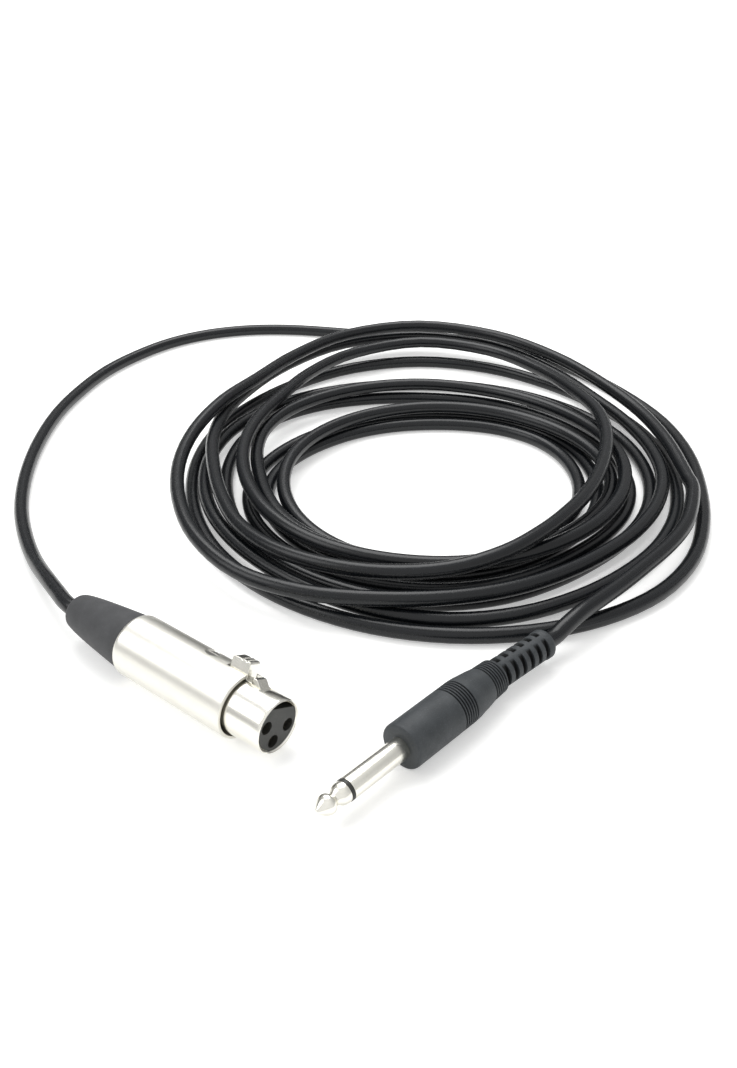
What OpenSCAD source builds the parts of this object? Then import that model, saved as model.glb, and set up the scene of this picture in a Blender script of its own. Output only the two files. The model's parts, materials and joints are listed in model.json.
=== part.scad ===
// Instrument cable: a three pole round plug with a latch at one end, a 6.35 mm
// moulded jack plug at the other, and a round black cable lying in a loose coil.
// Units are millimetres. The table is the plane Z = 0 and both plugs lie on it.
// Each plug is drawn along its own +X axis, which points at its mating end.

/* [Cable] */
// Outer diameter of the round cable
cable_d = 5.2; // [4.5:0.1:6]
// Outer diameter of the insulated signal core
core_d = 1.6; // [1.2:0.1:2]
// Diameter of the gathered screen strands
screen_d = 1.2; // [0.8:0.1:1.6]

/* [Coil] */
// Centre of the coil on the table, across
coil_x = 43; // [30:1:55]
// Centre of the coil on the table, in depth
coil_y = 127; // [115:1:140]
// Air left between two strands that cross
strand_gap = 0.7; // [0.6:0.1:1.5]

/* [Round plug] */
// Place of the boot and shell joint, across
plug_x = -49.4; // [-60:0.1:-45]
// Place of the boot and shell joint, in depth
plug_y = 21.5; // [15:0.1:30]
// Direction of the plug on the table, in degrees
plug_yaw = -39; // [-50:1:-30]
// Roll that tips the latch away from the top, in degrees
plug_roll = -27; // [-35:1:0]
// Outer diameter of the metal shell
shell_d = 19; // [18:0.5:20]
// Length of the metal shell
shell_len = 43.5; // [42:0.5:50]
// Wall of the metal shell
shell_wall = 1.1; // [0.9:0.1:1.4]
// Outer diameter of the nose that enters a socket
nose_d = 15.8; // [15.4:0.1:16]
// Length of nose in front of the shell
nose_len = 13; // [12:0.5:16]
// Wall of the nose sleeve
nose_wall = 0.9; // [0.7:0.1:1.1]
// Length of rubber boot behind the shell
boot_len = 27; // [24:0.5:34]
// Outer diameter of the boot where it meets the shell
boot_front_d = 17.3; // [16.6:0.1:17.6]
// Outer diameter of the boot where the cable leaves
boot_rear_d = 11.4; // [10:0.1:12]
// Radius of the circle that the contacts stand on
contact_circle = 4.3; // [3.9:0.05:4.4]
// Bore of each contact, for a 2.4 mm pin
contact_bore = 2.44; // [2.42:0.01:2.5]
// Outer diameter of each contact
contact_d = 3.2; // [3:0.1:3.3]
// Width of the latch lever
latch_w = 4; // [3.6:0.1:4.2]
// Thickness of the latch lever
latch_t = 1.3; // [1.1:0.1:1.4]
// Diameter of the pin that the latch turns on
latch_pin_d = 1.2; // [1:0.1:1.3]
// Turns of the latch spring
spring_turns = 3; // [2:1:3]
// Wire diameter of the latch spring
spring_wire = 0.34; // [0.3:0.02:0.36]

/* [Jack plug] */
// Place of the front face of the grip, across
jack_x = 26.5; // [20:0.1:30]
// Place of the front face of the grip, in depth
jack_y = -18.7; // [-25:0.1:-15]
// Direction of the jack on the table, in degrees
jack_yaw = 227; // [215:1:235]
// Diameter of the jack's shaft
shaft_d = 6.35; // [6.3:0.01:6.4]
// Length of shaft and tip in front of the grip
shaft_len = 31; // [30:0.1:31.5]
// Length of the tip contact
tip_len = 9.7; // [9:0.1:10.4]
// Length of the insulating ring between shaft and tip
ring_len = 1.1; // [0.8:0.1:1.4]
// Outer diameter of the grip
grip_d = 13.4; // [13:0.1:15]
// Outer diameter of the grip at its rear grooves
neck_d = 11; // [10.4:0.1:11.5]
// Outer diameter of the slotted strain relief
relief_d = 9; // [8.6:0.1:9.6]
// Length from the grip's front face to the cable's exit
grip_len = 62.5; // [60:0.5:66]
// Number of grooves in each of the two groups
groove_count = 6; // [3:1:7]
// Number of slots along the strain relief
slot_count = 6; // [4:1:6]
// Number of slots side by side round the strain relief
slot_rows = 3; // [2:1:3]
// Sideways bend of the strain relief, in degrees
relief_bend = 3.8; // [0:0.1:5]
// Roll of the rows of slots round the strain relief, in degrees
slot_roll = 18; // [0:1:45]

/* [Hidden] */
$fn = 96;
cable_r = cable_d / 2;
bore_slack = 0.05;      // between the cable and what it passes through
press_slack = 0.05;     // between pieces that are pushed into one another
cable_bore = cable_r + bore_slack;
joint_lap = 0.01;       // how far one shape of a piece runs into the next

// ---- shared shapes ---------------------------------------------------------

// A solid turned about the plug's axis from [station, radius] points.
module turned(points)
    rotate([0, 90, 0])
        rotate_extrude()
            polygon([for (p = points) [p[1], p[0]]]);

// A round bar along the axis, from station x0 to x1.
module bar(x0, x1, r)
    translate([x0, 0, 0])
        rotate([0, 90, 0])
            cylinder(h = x1 - x0, r = r);

// A tube along the axis, from station x0 to x1.
module pipe(x0, x1, outer, inner)
    turned([[x0, inner], [x0, outer], [x1, outer], [x1, inner]]);

module at_plug()
    translate([plug_x, plug_y, shell_d / 2])
        rotate([plug_roll, 0, plug_yaw])
            children();

module at_jack()
    translate([jack_x, jack_y, grip_d / 2])
        rotate([0, 0, jack_yaw])
            children();

// ---- tubes swept along a route ---------------------------------------------

function unit(v) = v / norm(v);

// Direction of a route at its point i.
function heading_at(route, i) =
    unit(route[min(i + 1, len(route) - 1)] - route[max(i - 1, 0)]);

// The ring of a tube at point i of its route.
function tube_ring(route, i, r, sides) =
    let (ahead = heading_at(route, i),
         side = unit(cross(ahead, [0, 0, 1])),
         rise = cross(side, ahead))
    [for (k = [0:sides - 1])
        let (a = 360 * (k + 0.5) / sides)
        route[i] + r * (cos(a) * side + sin(a) * rise)];

module tube(route, r, sides) {
    rings = len(route);
    points = [for (i = [0:rings - 1]) each tube_ring(route, i, r, sides)];
    walls = [for (i = [0:rings - 2], k = [0:sides - 1])
        let (n = (k + 1) % sides,
             a = i * sides + k,
             b = i * sides + n)
        each [[a, a + sides, b], [b, a + sides, b + sides]]];
    first_cap = [for (k = [1:sides - 2]) [0, k, k + 1]];
    last = (rings - 1) * sides;
    last_cap = [for (k = [1:sides - 2]) [last, last + k + 1, last + k]];
    polyhedron(points = points, faces = concat(walls, first_cap, last_cap), convexity = 10);
}

// A smooth curve through hand-set points, with steps spans between two points.
function spline_point(a, b, c, d, t) =
    0.5 * (2 * b + (c - a) * t + (2 * a - 5 * b + 4 * c - d) * t * t
        + (3 * b - a - 3 * c + d) * t * t * t);

function spline(p, steps) =
    let (last = len(p) - 1)
    [for (i = [0:last - 1], s = [0:steps - 1])
        spline_point(p[max(i - 1, 0)], p[i], p[i + 1], p[min(i + 2, last)], s / steps),
     p[last]];

// The same curve with its first and last spans left straight, so that it ends squarely.
function squared(p, steps) =
    let (curve = spline(p, steps),
         last = len(curve) - 1)
    [for (i = [0:last])
        if (i == 0 || i == last || (i >= steps && i <= last - steps))
            curve[i]];

wire_steps = 3;
wire_sides = 8;
lead_steps = 2;
lead_sides = 10;

// A bent wire through hand-set points, whose first and last two lie along the axis.
module wire(points, r)
    tube(squared(points, wire_steps), r, wire_sides);

// ---- the coil --------------------------------------------------------------
// Each row is one loop, the lowest first, as the distance from the coil's centre
// to the strand at every eighth of a turn: back, back right, right, front right,
// front, front left, left, back left. The loops wind in, then out again on top.

loops = [
    [160, 126, 101,  98,  92,  89,  92, 108],
    [127, 108,  92,  84,  86,  82,  87,  97],
    [ 99,  94,  82,  72,  75,  75,  79,  90],
    [ 84,  81,  74,  65,  67,  69,  70,  66],
    [ 66,  68,  62,  58,  60,  62,  63,  58],
    [ 57,  61,  55,  51,  54,  56,  57,  58],
    [ 62,  65,  66,  60,  61,  63,  66,  83],
    [ 86,  78,  71,  66,  66,  68,  72,  88],
    [130,  90,  63,  60,  75,  80,  83, 109],
    [148, 104,  86,  76,  82,  95,  96, 104],
    [145, 110,  94]];
reaches = [for (row = loops) each row];
parts_a_loop = 8;
rings_a_part = 3;
rings_a_loop = parts_a_loop * rings_a_part;
coil_sides = 6;
strand_reach = cable_d + strand_gap;
ease = 2;                       // rings each side that a hump is spread over

// Reach number k, mirrored past both ends so that the coil starts and stops squarely.
function reach_of(k) =
    let (last = len(reaches) - 1)
    k < 0 ? reaches[-k] : k > last ? reaches[2 * last - k] : reaches[k];

function coil_plan(i) =
    let (k = floor(i / rings_a_part),
         r = spline_point(reach_of(k - 1), reach_of(k), reach_of(k + 1), reach_of(k + 2),
             i / rings_a_part - k),
         turn = 360 * i / rings_a_loop)
    [coil_x + r * sin(turn), coil_y + r * cos(turn)];

// Height at which a strand at p rests on the strand from a to b, or 0 if clear.
function rest_on(p, a, b, height_a, height_b) =
    let (run = b - a,
         u = max(0, min(1, (p - a) * run / (run * run))),
         d = norm(p - a - u * run))
    d >= strand_reach ? 0
        : height_a * (1 - u) + height_b * u + sqrt(strand_reach * strand_reach - d * d);

function hump(raw, i) =
    max([for (k = [max(0, i - ease):min(len(raw) - 1, i + ease)]) raw[k]]);

function eased(raw, i) =
    let (near = [for (k = [max(0, i - ease):min(len(raw) - 1, i + ease)]) hump(raw, k)])
    near * [for (n = near) 1] / len(near);

// Each ring lies on the table or on the loops laid before it, in long low humps.
function settle(plan, raw = [], set = []) =
    let (i = len(raw))
    i == len(plan)
        ? [for (k = [0:i - 1]) k < len(set) ? set[k] : eased(raw, k)]
        : let (under = [for (j = [0:1:i - rings_a_loop / 2 - 1])
                   rest_on(plan[i], plan[j], plan[j + 1], set[j], set[j + 1])],
               next = concat(raw, [max(concat([cable_r], under))]),
               done = len(next) - 2 * ease - 1)
          settle(plan, next, done >= 0 ? concat(set, [eased(next, done)]) : set);

// The whole coil, with a straight end one diameter long at each end.
function coil_route() =
    let (plan = [for (i = [0:(len(reaches) - 1) * rings_a_part]) coil_plan(i)],
         heights = settle(plan),
         last = len(plan) - 1,
         start = [plan[0].x, plan[0].y, heights[0]],
         finish = [plan[last].x, plan[last].y, heights[last]])
    concat([start - [cable_d, 0, 0], start],
        [for (i = [1:last - 1]) [plan[i].x, plan[i].y, heights[i]]],
        [finish, finish - [0, cable_d, 0]]);

// Distance from a point p to the strand from a to b.
function strand_distance(p, a, b) =
    let (run = b - a,
         u = max(0, min(1, (p - a) * run / (run * run))))
    norm(p - a - u * run);

// Least air between strands that lie at least half a loop apart.
function least_gap(route) =
    min([for (i = [0:len(route) - 1], j = [0:1:i - rings_a_loop / 2 - 1])
        strand_distance(route[i], route[j], route[j + 1])]) - cable_d;

module cable_coil() {
    route = coil_route();
    echo(least_gap_of_coil = least_gap(route));
    color([0.08, 0.08, 0.09])
        tube(route, cable_r, coil_sides);
}

// ---- round plug: stations along its axis -----------------------------------
// Station 0 is where the boot meets the shell.

shell_r = shell_d / 2;
shell_bore = shell_r - shell_wall;
lip_len = 1.5;                          // rear lip of the shell, over the boot
boot_neck_r = shell_bore - 0.7;         // boot inside the shell's rear lip
lip_bore = boot_neck_r + press_slack;
flange_len = 2.2;                       // boot flange held behind the lip
inner_r = shell_bore - press_slack;     // anything that fits inside the shell
rim_relief = 0.35;                      // dark gap at the shell's front rim
rim_relief_len = 4;
nose_r = nose_d / 2;
nose_bore = nose_r - nose_wall;
nose_root_r = nose_r - 0.1;              // inside the shell
nose_end = shell_len + nose_len;
collar_setback = 18.5;                  // from the shell's front to the collar's rear face
collar_x = shell_len - collar_setback;  // rear face of the insert's collar
collar_len = 9;
sleeve_x = collar_x + collar_len;       // rear face of the nose sleeve
sleeve_flange_len = 2;
insert_r = nose_bore - press_slack;
insert_end = nose_end - 0.5;
contact_r = contact_d / 2;
mouth_r = contact_r + 0.25;             // wider mouth of each contact's hole
contact_recess = 2.2;                   // contacts stand back from the insert's face
contact_end = insert_end - contact_recess;
contact_bore_len = 14;
cup_len = 3.5;                          // solder cup behind the collar
cup_bore = 1;
cup_depth = 3;
slit_w = 0.4;
clamp_x = lip_len + flange_len + 0.3;
clamp_len = 10;
stub_end = clamp_x + clamp_len + 1;     // where the outer jacket is cut back

// Latch: the lever turns about a pin in the collar and passes out of the slots.
pivot_setback = 7.8;                    // from the collar's rear face
pivot_x = collar_x + pivot_setback;
pivot_z = 6.2;
pivot_r = latch_pin_d / 2;
pivot_slack = 0.05;
lever_low = 5.6;
lever_rear = pivot_x - 1;
lever_boss = 1.3;
pad_rear = shell_len - 6.6;
pad_front = shell_len;
pad_top = shell_r + 3.3;
hook_x = shell_len + 2.2;
hook_top = nose_r + 1.5;
hook_end = hook_x + 3.8;
slot_side = 0.3;                        // air each side of the lever
pocket_floor = 2.6;
pocket_rear = pivot_x - 2.1;
pocket_front = hook_end + 1;
shell_slot_x = pad_rear - 0.9;
slot_across = latch_w + 2 * slot_side;
spring_x = shell_len - 5;
spring_r = 1.2;

// Where the three contacts stand, seen along the axis: left, right and low.
contact_angles = [0, 180, 270];

function on_circle(r, a) = [r * cos(a), r * sin(a)];

module at_contact(index) {
    spot = on_circle(contact_circle, contact_angles[index]);
    translate([0, spot.x, spot.y])
        children();
}

// The channel that the latch moves in, from station x0 to x1, above floor z0.
module latch_channel(x0, x1, z0, w)
    translate([x0, -w / 2, z0])
        cube([x1 - x0, w, shell_d]);

module xlr_shell()
    color([0.78, 0.77, 0.74])
        at_plug()
            difference() {
                turned([
                    [0, lip_bore],
                    [0, shell_r - 0.8],
                    [0.3, shell_r - 0.3],
                    [1.1, shell_r],
                    [shell_len - 0.4, shell_r],
                    [shell_len, shell_r - 0.4],
                    [shell_len, nose_r + rim_relief],
                    [shell_len - rim_relief_len, nose_r + rim_relief],
                    [shell_len - rim_relief_len, shell_bore],
                    [lip_len, shell_bore],
                    [lip_len, lip_bore]]);
                latch_channel(shell_slot_x, shell_len + 1, 0, slot_across);
                insert_screw_hole(screw_r + screw_slack);
                insert_screw_seat();
            }

module xlr_boot()
    color([0.16, 0.16, 0.17])
        at_plug()
            turned([
                [-boot_len, cable_bore],
                [-boot_len, boot_rear_d / 2 - 0.7],
                [-boot_len + 0.7, boot_rear_d / 2],
                [-boot_len * 0.55, boot_rear_d * 0.28 + boot_front_d * 0.22 + 0.35],
                [-1, boot_front_d / 2],
                [-press_slack, boot_front_d / 2],
                [-press_slack, boot_neck_r],
                [lip_len + press_slack, boot_neck_r],
                [lip_len + press_slack, inner_r],
                [lip_len + flange_len, inner_r],
                [lip_len + flange_len, cable_bore]]);

module xlr_nose_sleeve()
    color([0.8, 0.79, 0.76])
        at_plug()
            difference() {
                turned([
                    [sleeve_x, nose_bore],
                    [sleeve_x, inner_r],
                    [sleeve_x + sleeve_flange_len, inner_r],
                    [sleeve_x + sleeve_flange_len, nose_root_r],
                    [shell_len, nose_root_r],
                    [shell_len, nose_r],
                    [nose_end - 0.6, nose_r],
                    [nose_end, nose_r - 0.5],
                    [nose_end, nose_bore + 0.1],
                    [nose_end - 0.3, nose_bore]]);
                latch_channel(sleeve_x - 1, pocket_front, 0, slot_across);
            }

module xlr_socket_insert()
    color([0.13, 0.14, 0.14])
        at_plug()
            difference() {
                union() {
                    bar(collar_x, sleeve_x, inner_r);
                    bar(sleeve_x - joint_lap, insert_end, insert_r);
                }
                for (i = [0:len(contact_angles) - 1])
                    at_contact(i)
                        union() {
                            bar(collar_x - 1, insert_end + 1, contact_r);
                            bar(contact_end + 0.4, insert_end + 1, mouth_r);
                        }
                latch_channel(pocket_rear, pocket_front, pocket_floor, slot_across);
                latch_channel(pocket_front - 1, insert_end + 1, insert_r * 0.75, nose_d);
                translate([pivot_x, 0, pivot_z])
                    rotate([90, 0, 0])
                        cylinder(h = shell_d, r = pivot_r, center = true);
                insert_screw_hole(screw_r);
            }

module xlr_contact(index)
    color([0.8, 0.68, 0.42])
        at_plug()
            at_contact(index)
                difference() {
                    bar(collar_x - cup_len, contact_end, contact_r);
                    bar(contact_end - contact_bore_len, contact_end + 1, contact_bore / 2);
                    bar(collar_x - cup_len - 1, collar_x - cup_len + cup_depth, cup_bore);
                    translate([contact_end - contact_bore_len + 4, -slit_w / 2, 0])
                        cube([contact_bore_len, slit_w, contact_d]);
                }

module xlr_contact_1() xlr_contact(0);
module xlr_contact_2() xlr_contact(1);
module xlr_contact_3() xlr_contact(2);

// Side view of the lever: boss and plate at the rear, thumb pad, hook in front.
module latch_outline()
    difference() {
        union() {
            polygon([
                [lever_rear, lever_low],
                [hook_end, lever_low],
                [hook_end, lever_low + latch_t],
                [hook_x + 1.2, hook_top],
                [hook_x, hook_top],
                [hook_x - 0.3, nose_r],
                [pad_front, nose_r],
                [pad_front, pad_top - 0.5],
                [pad_front - 0.5, pad_top],
                [pad_rear + 0.7, pad_top - 0.2],
                [pad_rear, pad_top - 0.9],
                [pad_rear, lever_low + latch_t],
                [lever_rear, lever_low + latch_t]]);
            translate([pivot_x, pivot_z])
                circle(r = lever_boss);
        }
        translate([pivot_x, pivot_z])
            circle(r = pivot_r + pivot_slack);
    }

module xlr_latch()
    color([0.75, 0.74, 0.7])
        at_plug()
            translate([0, latch_w / 2, 0])
                rotate([90, 0, 0])
                    linear_extrude(height = latch_w)
                        latch_outline();

latch_pin_len = 9;

module xlr_latch_pin()
    color([0.6, 0.6, 0.6])
        at_plug()
            translate([pivot_x, 0, pivot_z])
                rotate([90, 0, 0])
                    cylinder(h = latch_pin_len, r = pivot_r, center = true);

// The latch spring stands on the pocket's floor and pushes the lever up.
spring_ring_count = 8;
spring_wire_r = spring_wire / 2;
spring_rise = lever_low - pocket_floor - 2 * spring_wire_r;

function spring_route() =
    [for (i = [0:spring_turns * spring_ring_count])
        let (a = 360 * i / spring_ring_count)
        [spring_r * cos(a), spring_r * sin(a),
         spring_wire_r + spring_rise * i / (spring_turns * spring_ring_count)]];

module xlr_latch_spring() {
    echo(least_gap_of_spring = spring_rise / spring_turns - spring_wire);
    color([0.7, 0.7, 0.7])
        at_plug()
            translate([spring_x, 0, pocket_floor])
                tube(spring_route(), spring_wire_r, 6);
}

// A small countersunk screw behind the latch holds the insert.
screw_x = collar_x + 3.6;
screw_r = 0.95;
screw_slack = 0.1;                      // round the screw in the shell
screw_end = 6;                          // depth of its hole, from the plug's axis
screw_head_r = 2;
screw_head_face = shell_r - 0.3;        // the head's face, from the plug's axis
screw_slot_w = 0.5;
screw_slot_depth = 0.4;

// A cylinder or cone over the axis, from height z0 down to height z1.
module screw_bar(z0, z1, r0, r1)
    translate([screw_x, 0, z1])
        cylinder(h = z0 - z1, r1 = r1, r2 = r0);

module insert_screw_hole(r)
    screw_bar(shell_d, screw_end, r, r);

module insert_screw_seat() {
    wide = screw_head_r + screw_slack;
    screw_bar(shell_d, screw_head_face - joint_lap, wide, wide);
    screw_bar(screw_head_face, inner_r, wide, screw_r + screw_slack);
}

module xlr_insert_screw()
    color([0.65, 0.65, 0.64])
        at_plug()
            difference() {
                union() {
                    screw_bar(screw_head_face, inner_r, screw_head_r, screw_r);
                    screw_bar(inner_r + joint_lap, screw_end + 0.1, screw_r, screw_r);
                }
                translate([screw_x - screw_head_r, -screw_slot_w / 2,
                        screw_head_face - screw_slot_depth])
                    cube([2 * screw_head_r, screw_slot_w, shell_r]);
            }

// A split plastic collet grips the jacket inside the shell.
module xlr_cable_clamp()
    color([0.85, 0.84, 0.8])
        at_plug()
            difference() {
                pipe(clamp_x, clamp_x + clamp_len, inner_r, cable_bore);
                translate([clamp_x - 1, -0.6, 0])
                    cube([clamp_len + 2, 1.2, shell_r]);
            }

module xlr_cable_end()
    color([0.08, 0.08, 0.09])
        at_plug()
            bar(-boot_len, stub_end, cable_r);

core_r = core_d / 2;
screen_r = screen_d / 2;
cup_x = collar_x - cup_len;

// The insulated core runs to contact 2 and ends inside its solder cup.
module xlr_core_wire()
    color([0.85, 0.85, 0.82])
        at_plug()
            wire([
                [stub_end, -0.9, 0],
                [stub_end + 0.8, -0.9, 0],
                [cup_x - 1.8, -contact_circle, 0],
                [cup_x + 1.5, -contact_circle, 0]], core_r);

// The gathered screen runs to contact 1 and ends inside its solder cup.
module xlr_screen_tail()
    color([0.72, 0.45, 0.3])
        at_plug()
            wire([
                [stub_end, 1.1, 0],
                [stub_end + 0.8, 1.1, 0],
                [cup_x - 1.8, contact_circle, 0],
                [cup_x + 1.5, contact_circle, 0]], screen_r);

// A bare link joins the cups of contacts 1 and 3.
link_r = 0.4;
link_inset = contact_r + 0.02;

module xlr_link_wire()
    color([0.8, 0.6, 0.4])
        at_plug()
            translate([cup_x + 1.8, contact_circle, 0])
                rotate([135, 0, 0])
                    translate([0, 0, link_inset])
                        cylinder(h = contact_circle * sqrt(2) - 2 * link_inset, r = link_r);

// ---- jack plug: stations along its axis ------------------------------------
// Station 0 is the grip's front face, the tip is ahead of it.

shaft_r = shaft_d / 2;
shaft_root_r = shaft_r - 0.22;          // inside the grip's front wall
shaft_hole = shaft_root_r + 0.02;
grip_r = grip_d / 2;
neck_r = neck_d / 2;
relief_r = relief_d / 2;
front_wall = 3.2;                       // rubber in front of the shaft's flange
cavity_r = 4.95;
cavity_len = 32;
flange_r = cavity_r - press_slack;
shaft_flange_len = 1.8;
tail_r = 2.9;                           // stepped tail behind the flange
tail_end = -10;
tip_rear = shaft_len - tip_len;
ring_rear = tip_rear - ring_len;        // where the shaft's tube ends
tube_r = 1.95;                          // inner insulator
rod_r = 1.15;                           // centre rod of the tip
tag_t = 0.6;
washer_t = 1.4;
washer_r = 2.95;
sleeve_tag_x = tail_end - tag_t;
washer_x = sleeve_tag_x - washer_t;
tip_tag_x = washer_x - tag_t;
rivet_len = 0.9;
jacket_end = -cavity_len + 6;           // where the outer jacket is cut back
mould_r = flange_r;
mould_wall = 0.6;
strip_w = 3.2;
strip_z = -3.75;
strip_end = -cavity_len + 1.5;
wing_len = 3;
wing_t = 0.8;
tongue_w = 2.2;
tongue_z = 1.85;
tongue_len = 8;
tongue_end = tip_tag_x - tongue_len;

groove_w = 0.42;
groove_depth = 0.7;
front_group_x = -18.9;
barrel_end = front_group_x - 8.1;       // where the grip starts to narrow
cavity_wall = 1.7;                      // rubber between the cavity and the rear grooves
rear_group_x = -cavity_len - cavity_wall;
groove_pitch = 0.95;
rear_group_len = 6.2;
relief_front = rear_group_x - rear_group_len;    // where the strain relief begins and bends
relief_len = grip_len + relief_front;
relief_root = 1;                        // length of relief inside the grip's neck
bend_slack = 0.25;                      // wider bore where the cable bends
collar_step = 2.6;                      // plain end collar of the strain relief
slot_w = 1.7;
slot_floor = 2.85;                      // slots stop short of the cable's bore
slot_start = 0.5;                       // from the neck to the first slot
slot_span = relief_len - slot_start - collar_step - 0.4;
slot_pitch = (slot_span - slot_w) / (slot_count - 1);

module grip_groove(x, r)
    pipe(x - groove_w, x, r + 1, r - groove_depth);

// The bent part of the grip, from the neck to the cable's exit.
module at_relief()
    translate([relief_front, 0, 0])
        rotate([0, 0, -relief_bend])
            translate([-relief_front, 0, 0])
                children();

// The slots side by side at one station of the strain relief.
module relief_slots(x)
    for (i = [0:slot_rows - 1])
        rotate([slot_roll + i * 360 / slot_rows, 0, 0])
            translate([x - slot_w, slot_floor, -relief_d])
                cube([slot_w, relief_d, 2 * relief_d]);

module grip_outside()
    turned([
        [0, 0],
        [0, grip_r - 0.7],
        [-0.2, grip_r - 0.25],
        [-0.7, grip_r],
        [barrel_end, grip_r],
        [rear_group_x + 0.6, neck_r + 0.3],
        [rear_group_x, neck_r],
        [relief_front + 0.4, neck_r - 0.3],
        [relief_front, relief_r + 0.2],
        [relief_front, 0]]);

module relief_outside()
    turned([
        [relief_front + relief_root, 0],
        [relief_front + relief_root, relief_r],
        [-grip_len + collar_step, relief_r - 0.1],
        [-grip_len + collar_step, relief_r + 0.1],
        [-grip_len + 0.9, relief_r + 0.1],
        [-grip_len, relief_r - 0.7],
        [-grip_len, 0]]);

module jack_handle()
    color([0.15, 0.16, 0.18])
        at_jack()
            difference() {
                union() {
                    grip_outside();
                    at_relief()
                        relief_outside();
                }
                bar(-front_wall - 1, 1, shaft_hole);
                turned([
                    [-front_wall, 0],
                    [-front_wall, cavity_r],
                    [-cavity_len, cavity_r],
                    [-cavity_len - 1.5, cable_bore + 0.8],
                    [-cavity_len - 1.5, 0]]);
                bar(relief_front - relief_root / 2, -cavity_len - 1, cable_bore + bend_slack);
                at_relief()
                    bar(-grip_len - 1, relief_front + relief_root, cable_bore);
                for (i = [0:groove_count - 1]) {
                    grip_groove(front_group_x - i * groove_pitch, grip_r);
                    grip_groove(rear_group_x - i * groove_pitch, neck_r);
                }
                at_relief()
                    for (i = [0:slot_count - 1])
                        relief_slots(relief_front - slot_start - i * slot_pitch);
            }

module jack_sleeve()
    color([0.82, 0.81, 0.77])
        at_jack()
            turned([
                [tail_end, tube_r],
                [tail_end, tail_r],
                [-front_wall - shaft_flange_len, tail_r],
                [-front_wall - shaft_flange_len, flange_r],
                [-front_wall, flange_r],
                [-front_wall, shaft_root_r],
                [0, shaft_root_r],
                [0, shaft_r],
                [ring_rear, shaft_r],
                [ring_rear, tube_r]]);

module jack_insulating_ring()
    color([0.05, 0.05, 0.05])
        at_jack()
            pipe(ring_rear, tip_rear, shaft_r, rod_r);

module jack_inner_insulator()
    color([0.9, 0.9, 0.88])
        at_jack()
            pipe(sleeve_tag_x, ring_rear, tube_r, rod_r);

// The tip contact: waist, ball and blunt point, in one piece with its rod.
ball_r = 2.76;
waist_r = 1.73;

module jack_tip()
    color([0.82, 0.81, 0.77])
        at_jack()
            union() {
                turned([
                    [tip_rear, 0],
                    [tip_rear, shaft_r - 0.1],
                    [tip_rear + 1.5, shaft_r - 0.25],
                    [tip_rear + 2.9, waist_r + 0.5],
                    [tip_rear + 3.7, waist_r],
                    [tip_rear + 4.2, waist_r + 0.1],
                    [tip_rear + 5.1, ball_r - 0.25],
                    [tip_rear + 5.9, ball_r],
                    [tip_rear + 6.7, ball_r - 0.1],
                    [tip_rear + 8, ball_r - 0.95],
                    [shaft_len - 0.3, 0.85],
                    [shaft_len, 0.4],
                    [shaft_len, 0]]);
                bar(tip_tag_x - rivet_len, tip_rear + joint_lap, rod_r);
                bar(tip_tag_x - rivet_len, tip_tag_x, rod_r + 0.6);
            }

module jack_tip_tag()
    color([0.82, 0.72, 0.5])
        at_jack()
            union() {
                pipe(tip_tag_x, washer_x, 2.6, rod_r);
                translate([tongue_end, -tongue_w / 2, tongue_z])
                    difference() {
                        cube([tip_tag_x + tag_t - tongue_end, tongue_w, tag_t]);
                        translate([1.6, tongue_w / 2, -1])
                            cylinder(h = 2, r = 0.6);
                    }
            }

module jack_tag_washer()
    color([0.88, 0.86, 0.78])
        at_jack()
            pipe(washer_x, sleeve_tag_x, washer_r, rod_r);

// Ring on the shaft's tail, strip under the wires and wings round the jacket.
module jack_sleeve_tag()
    color([0.78, 0.77, 0.72])
        at_jack()
            union() {
                pipe(sleeve_tag_x, tail_end, 4.1, tube_r);
                translate([strip_end, -strip_w / 2, strip_z])
                    cube([tail_end - strip_end, strip_w, tag_t]);
                difference() {
                    pipe(strip_end, strip_end + wing_len, cable_bore + wing_t, cable_bore);
                    translate([strip_end - 1, -shaft_d, 1.2])
                        cube([wing_len + 2, 2 * shaft_d, shaft_d]);
                }
            }

module jack_inner_mould()
    color([0.82, 0.83, 0.8])
        at_jack()
            pipe(-cavity_len + 0.3, -front_wall - shaft_flange_len, mould_r, mould_r - mould_wall);

module jack_cable_end() {
    bend = [relief_front, 0, 0];
    color([0.08, 0.08, 0.09])
        at_jack()
            tube([
                [jacket_end, 0, 0],
                bend,
                bend + relief_len * [-cos(relief_bend), sin(relief_bend), 0]], cable_r, lead_sides);
}

// The insulated core lies on the tip tag's tongue.
module jack_core_wire()
    color([0.85, 0.85, 0.82])
        at_jack()
            wire([
                [jacket_end, 0, 0.9],
                [jacket_end + 0.6, 0, 0.9],
                [tongue_end - 0.6, 0, tongue_z + tag_t + core_r],
                [tongue_end + 3.2, 0, tongue_z + tag_t + core_r]], core_r);

// The gathered screen lies on the sleeve tag's strip.
module jack_screen_tail()
    color([0.72, 0.45, 0.3])
        at_jack()
            wire([
                [jacket_end, 0, -1.2],
                [jacket_end + 0.6, 0, -1.2],
                [jacket_end + 3, 0, strip_z + tag_t + screen_r],
                [jacket_end + 6, 0, strip_z + tag_t + screen_r]], screen_r);

// ---- free stretches of the cable -------------------------------------------

floor_z = cable_r;
plug_axis = [cos(plug_yaw), sin(plug_yaw), 0];
plug_exit = [plug_x, plug_y, shell_r] - boot_len * plug_axis;
jack_axis = [cos(jack_yaw), sin(jack_yaw), 0];
relief_axis = -[cos(jack_yaw - relief_bend), sin(jack_yaw - relief_bend), 0];
jack_exit = [jack_x, jack_y, grip_r] + relief_front * jack_axis + relief_len * relief_axis;

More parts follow.
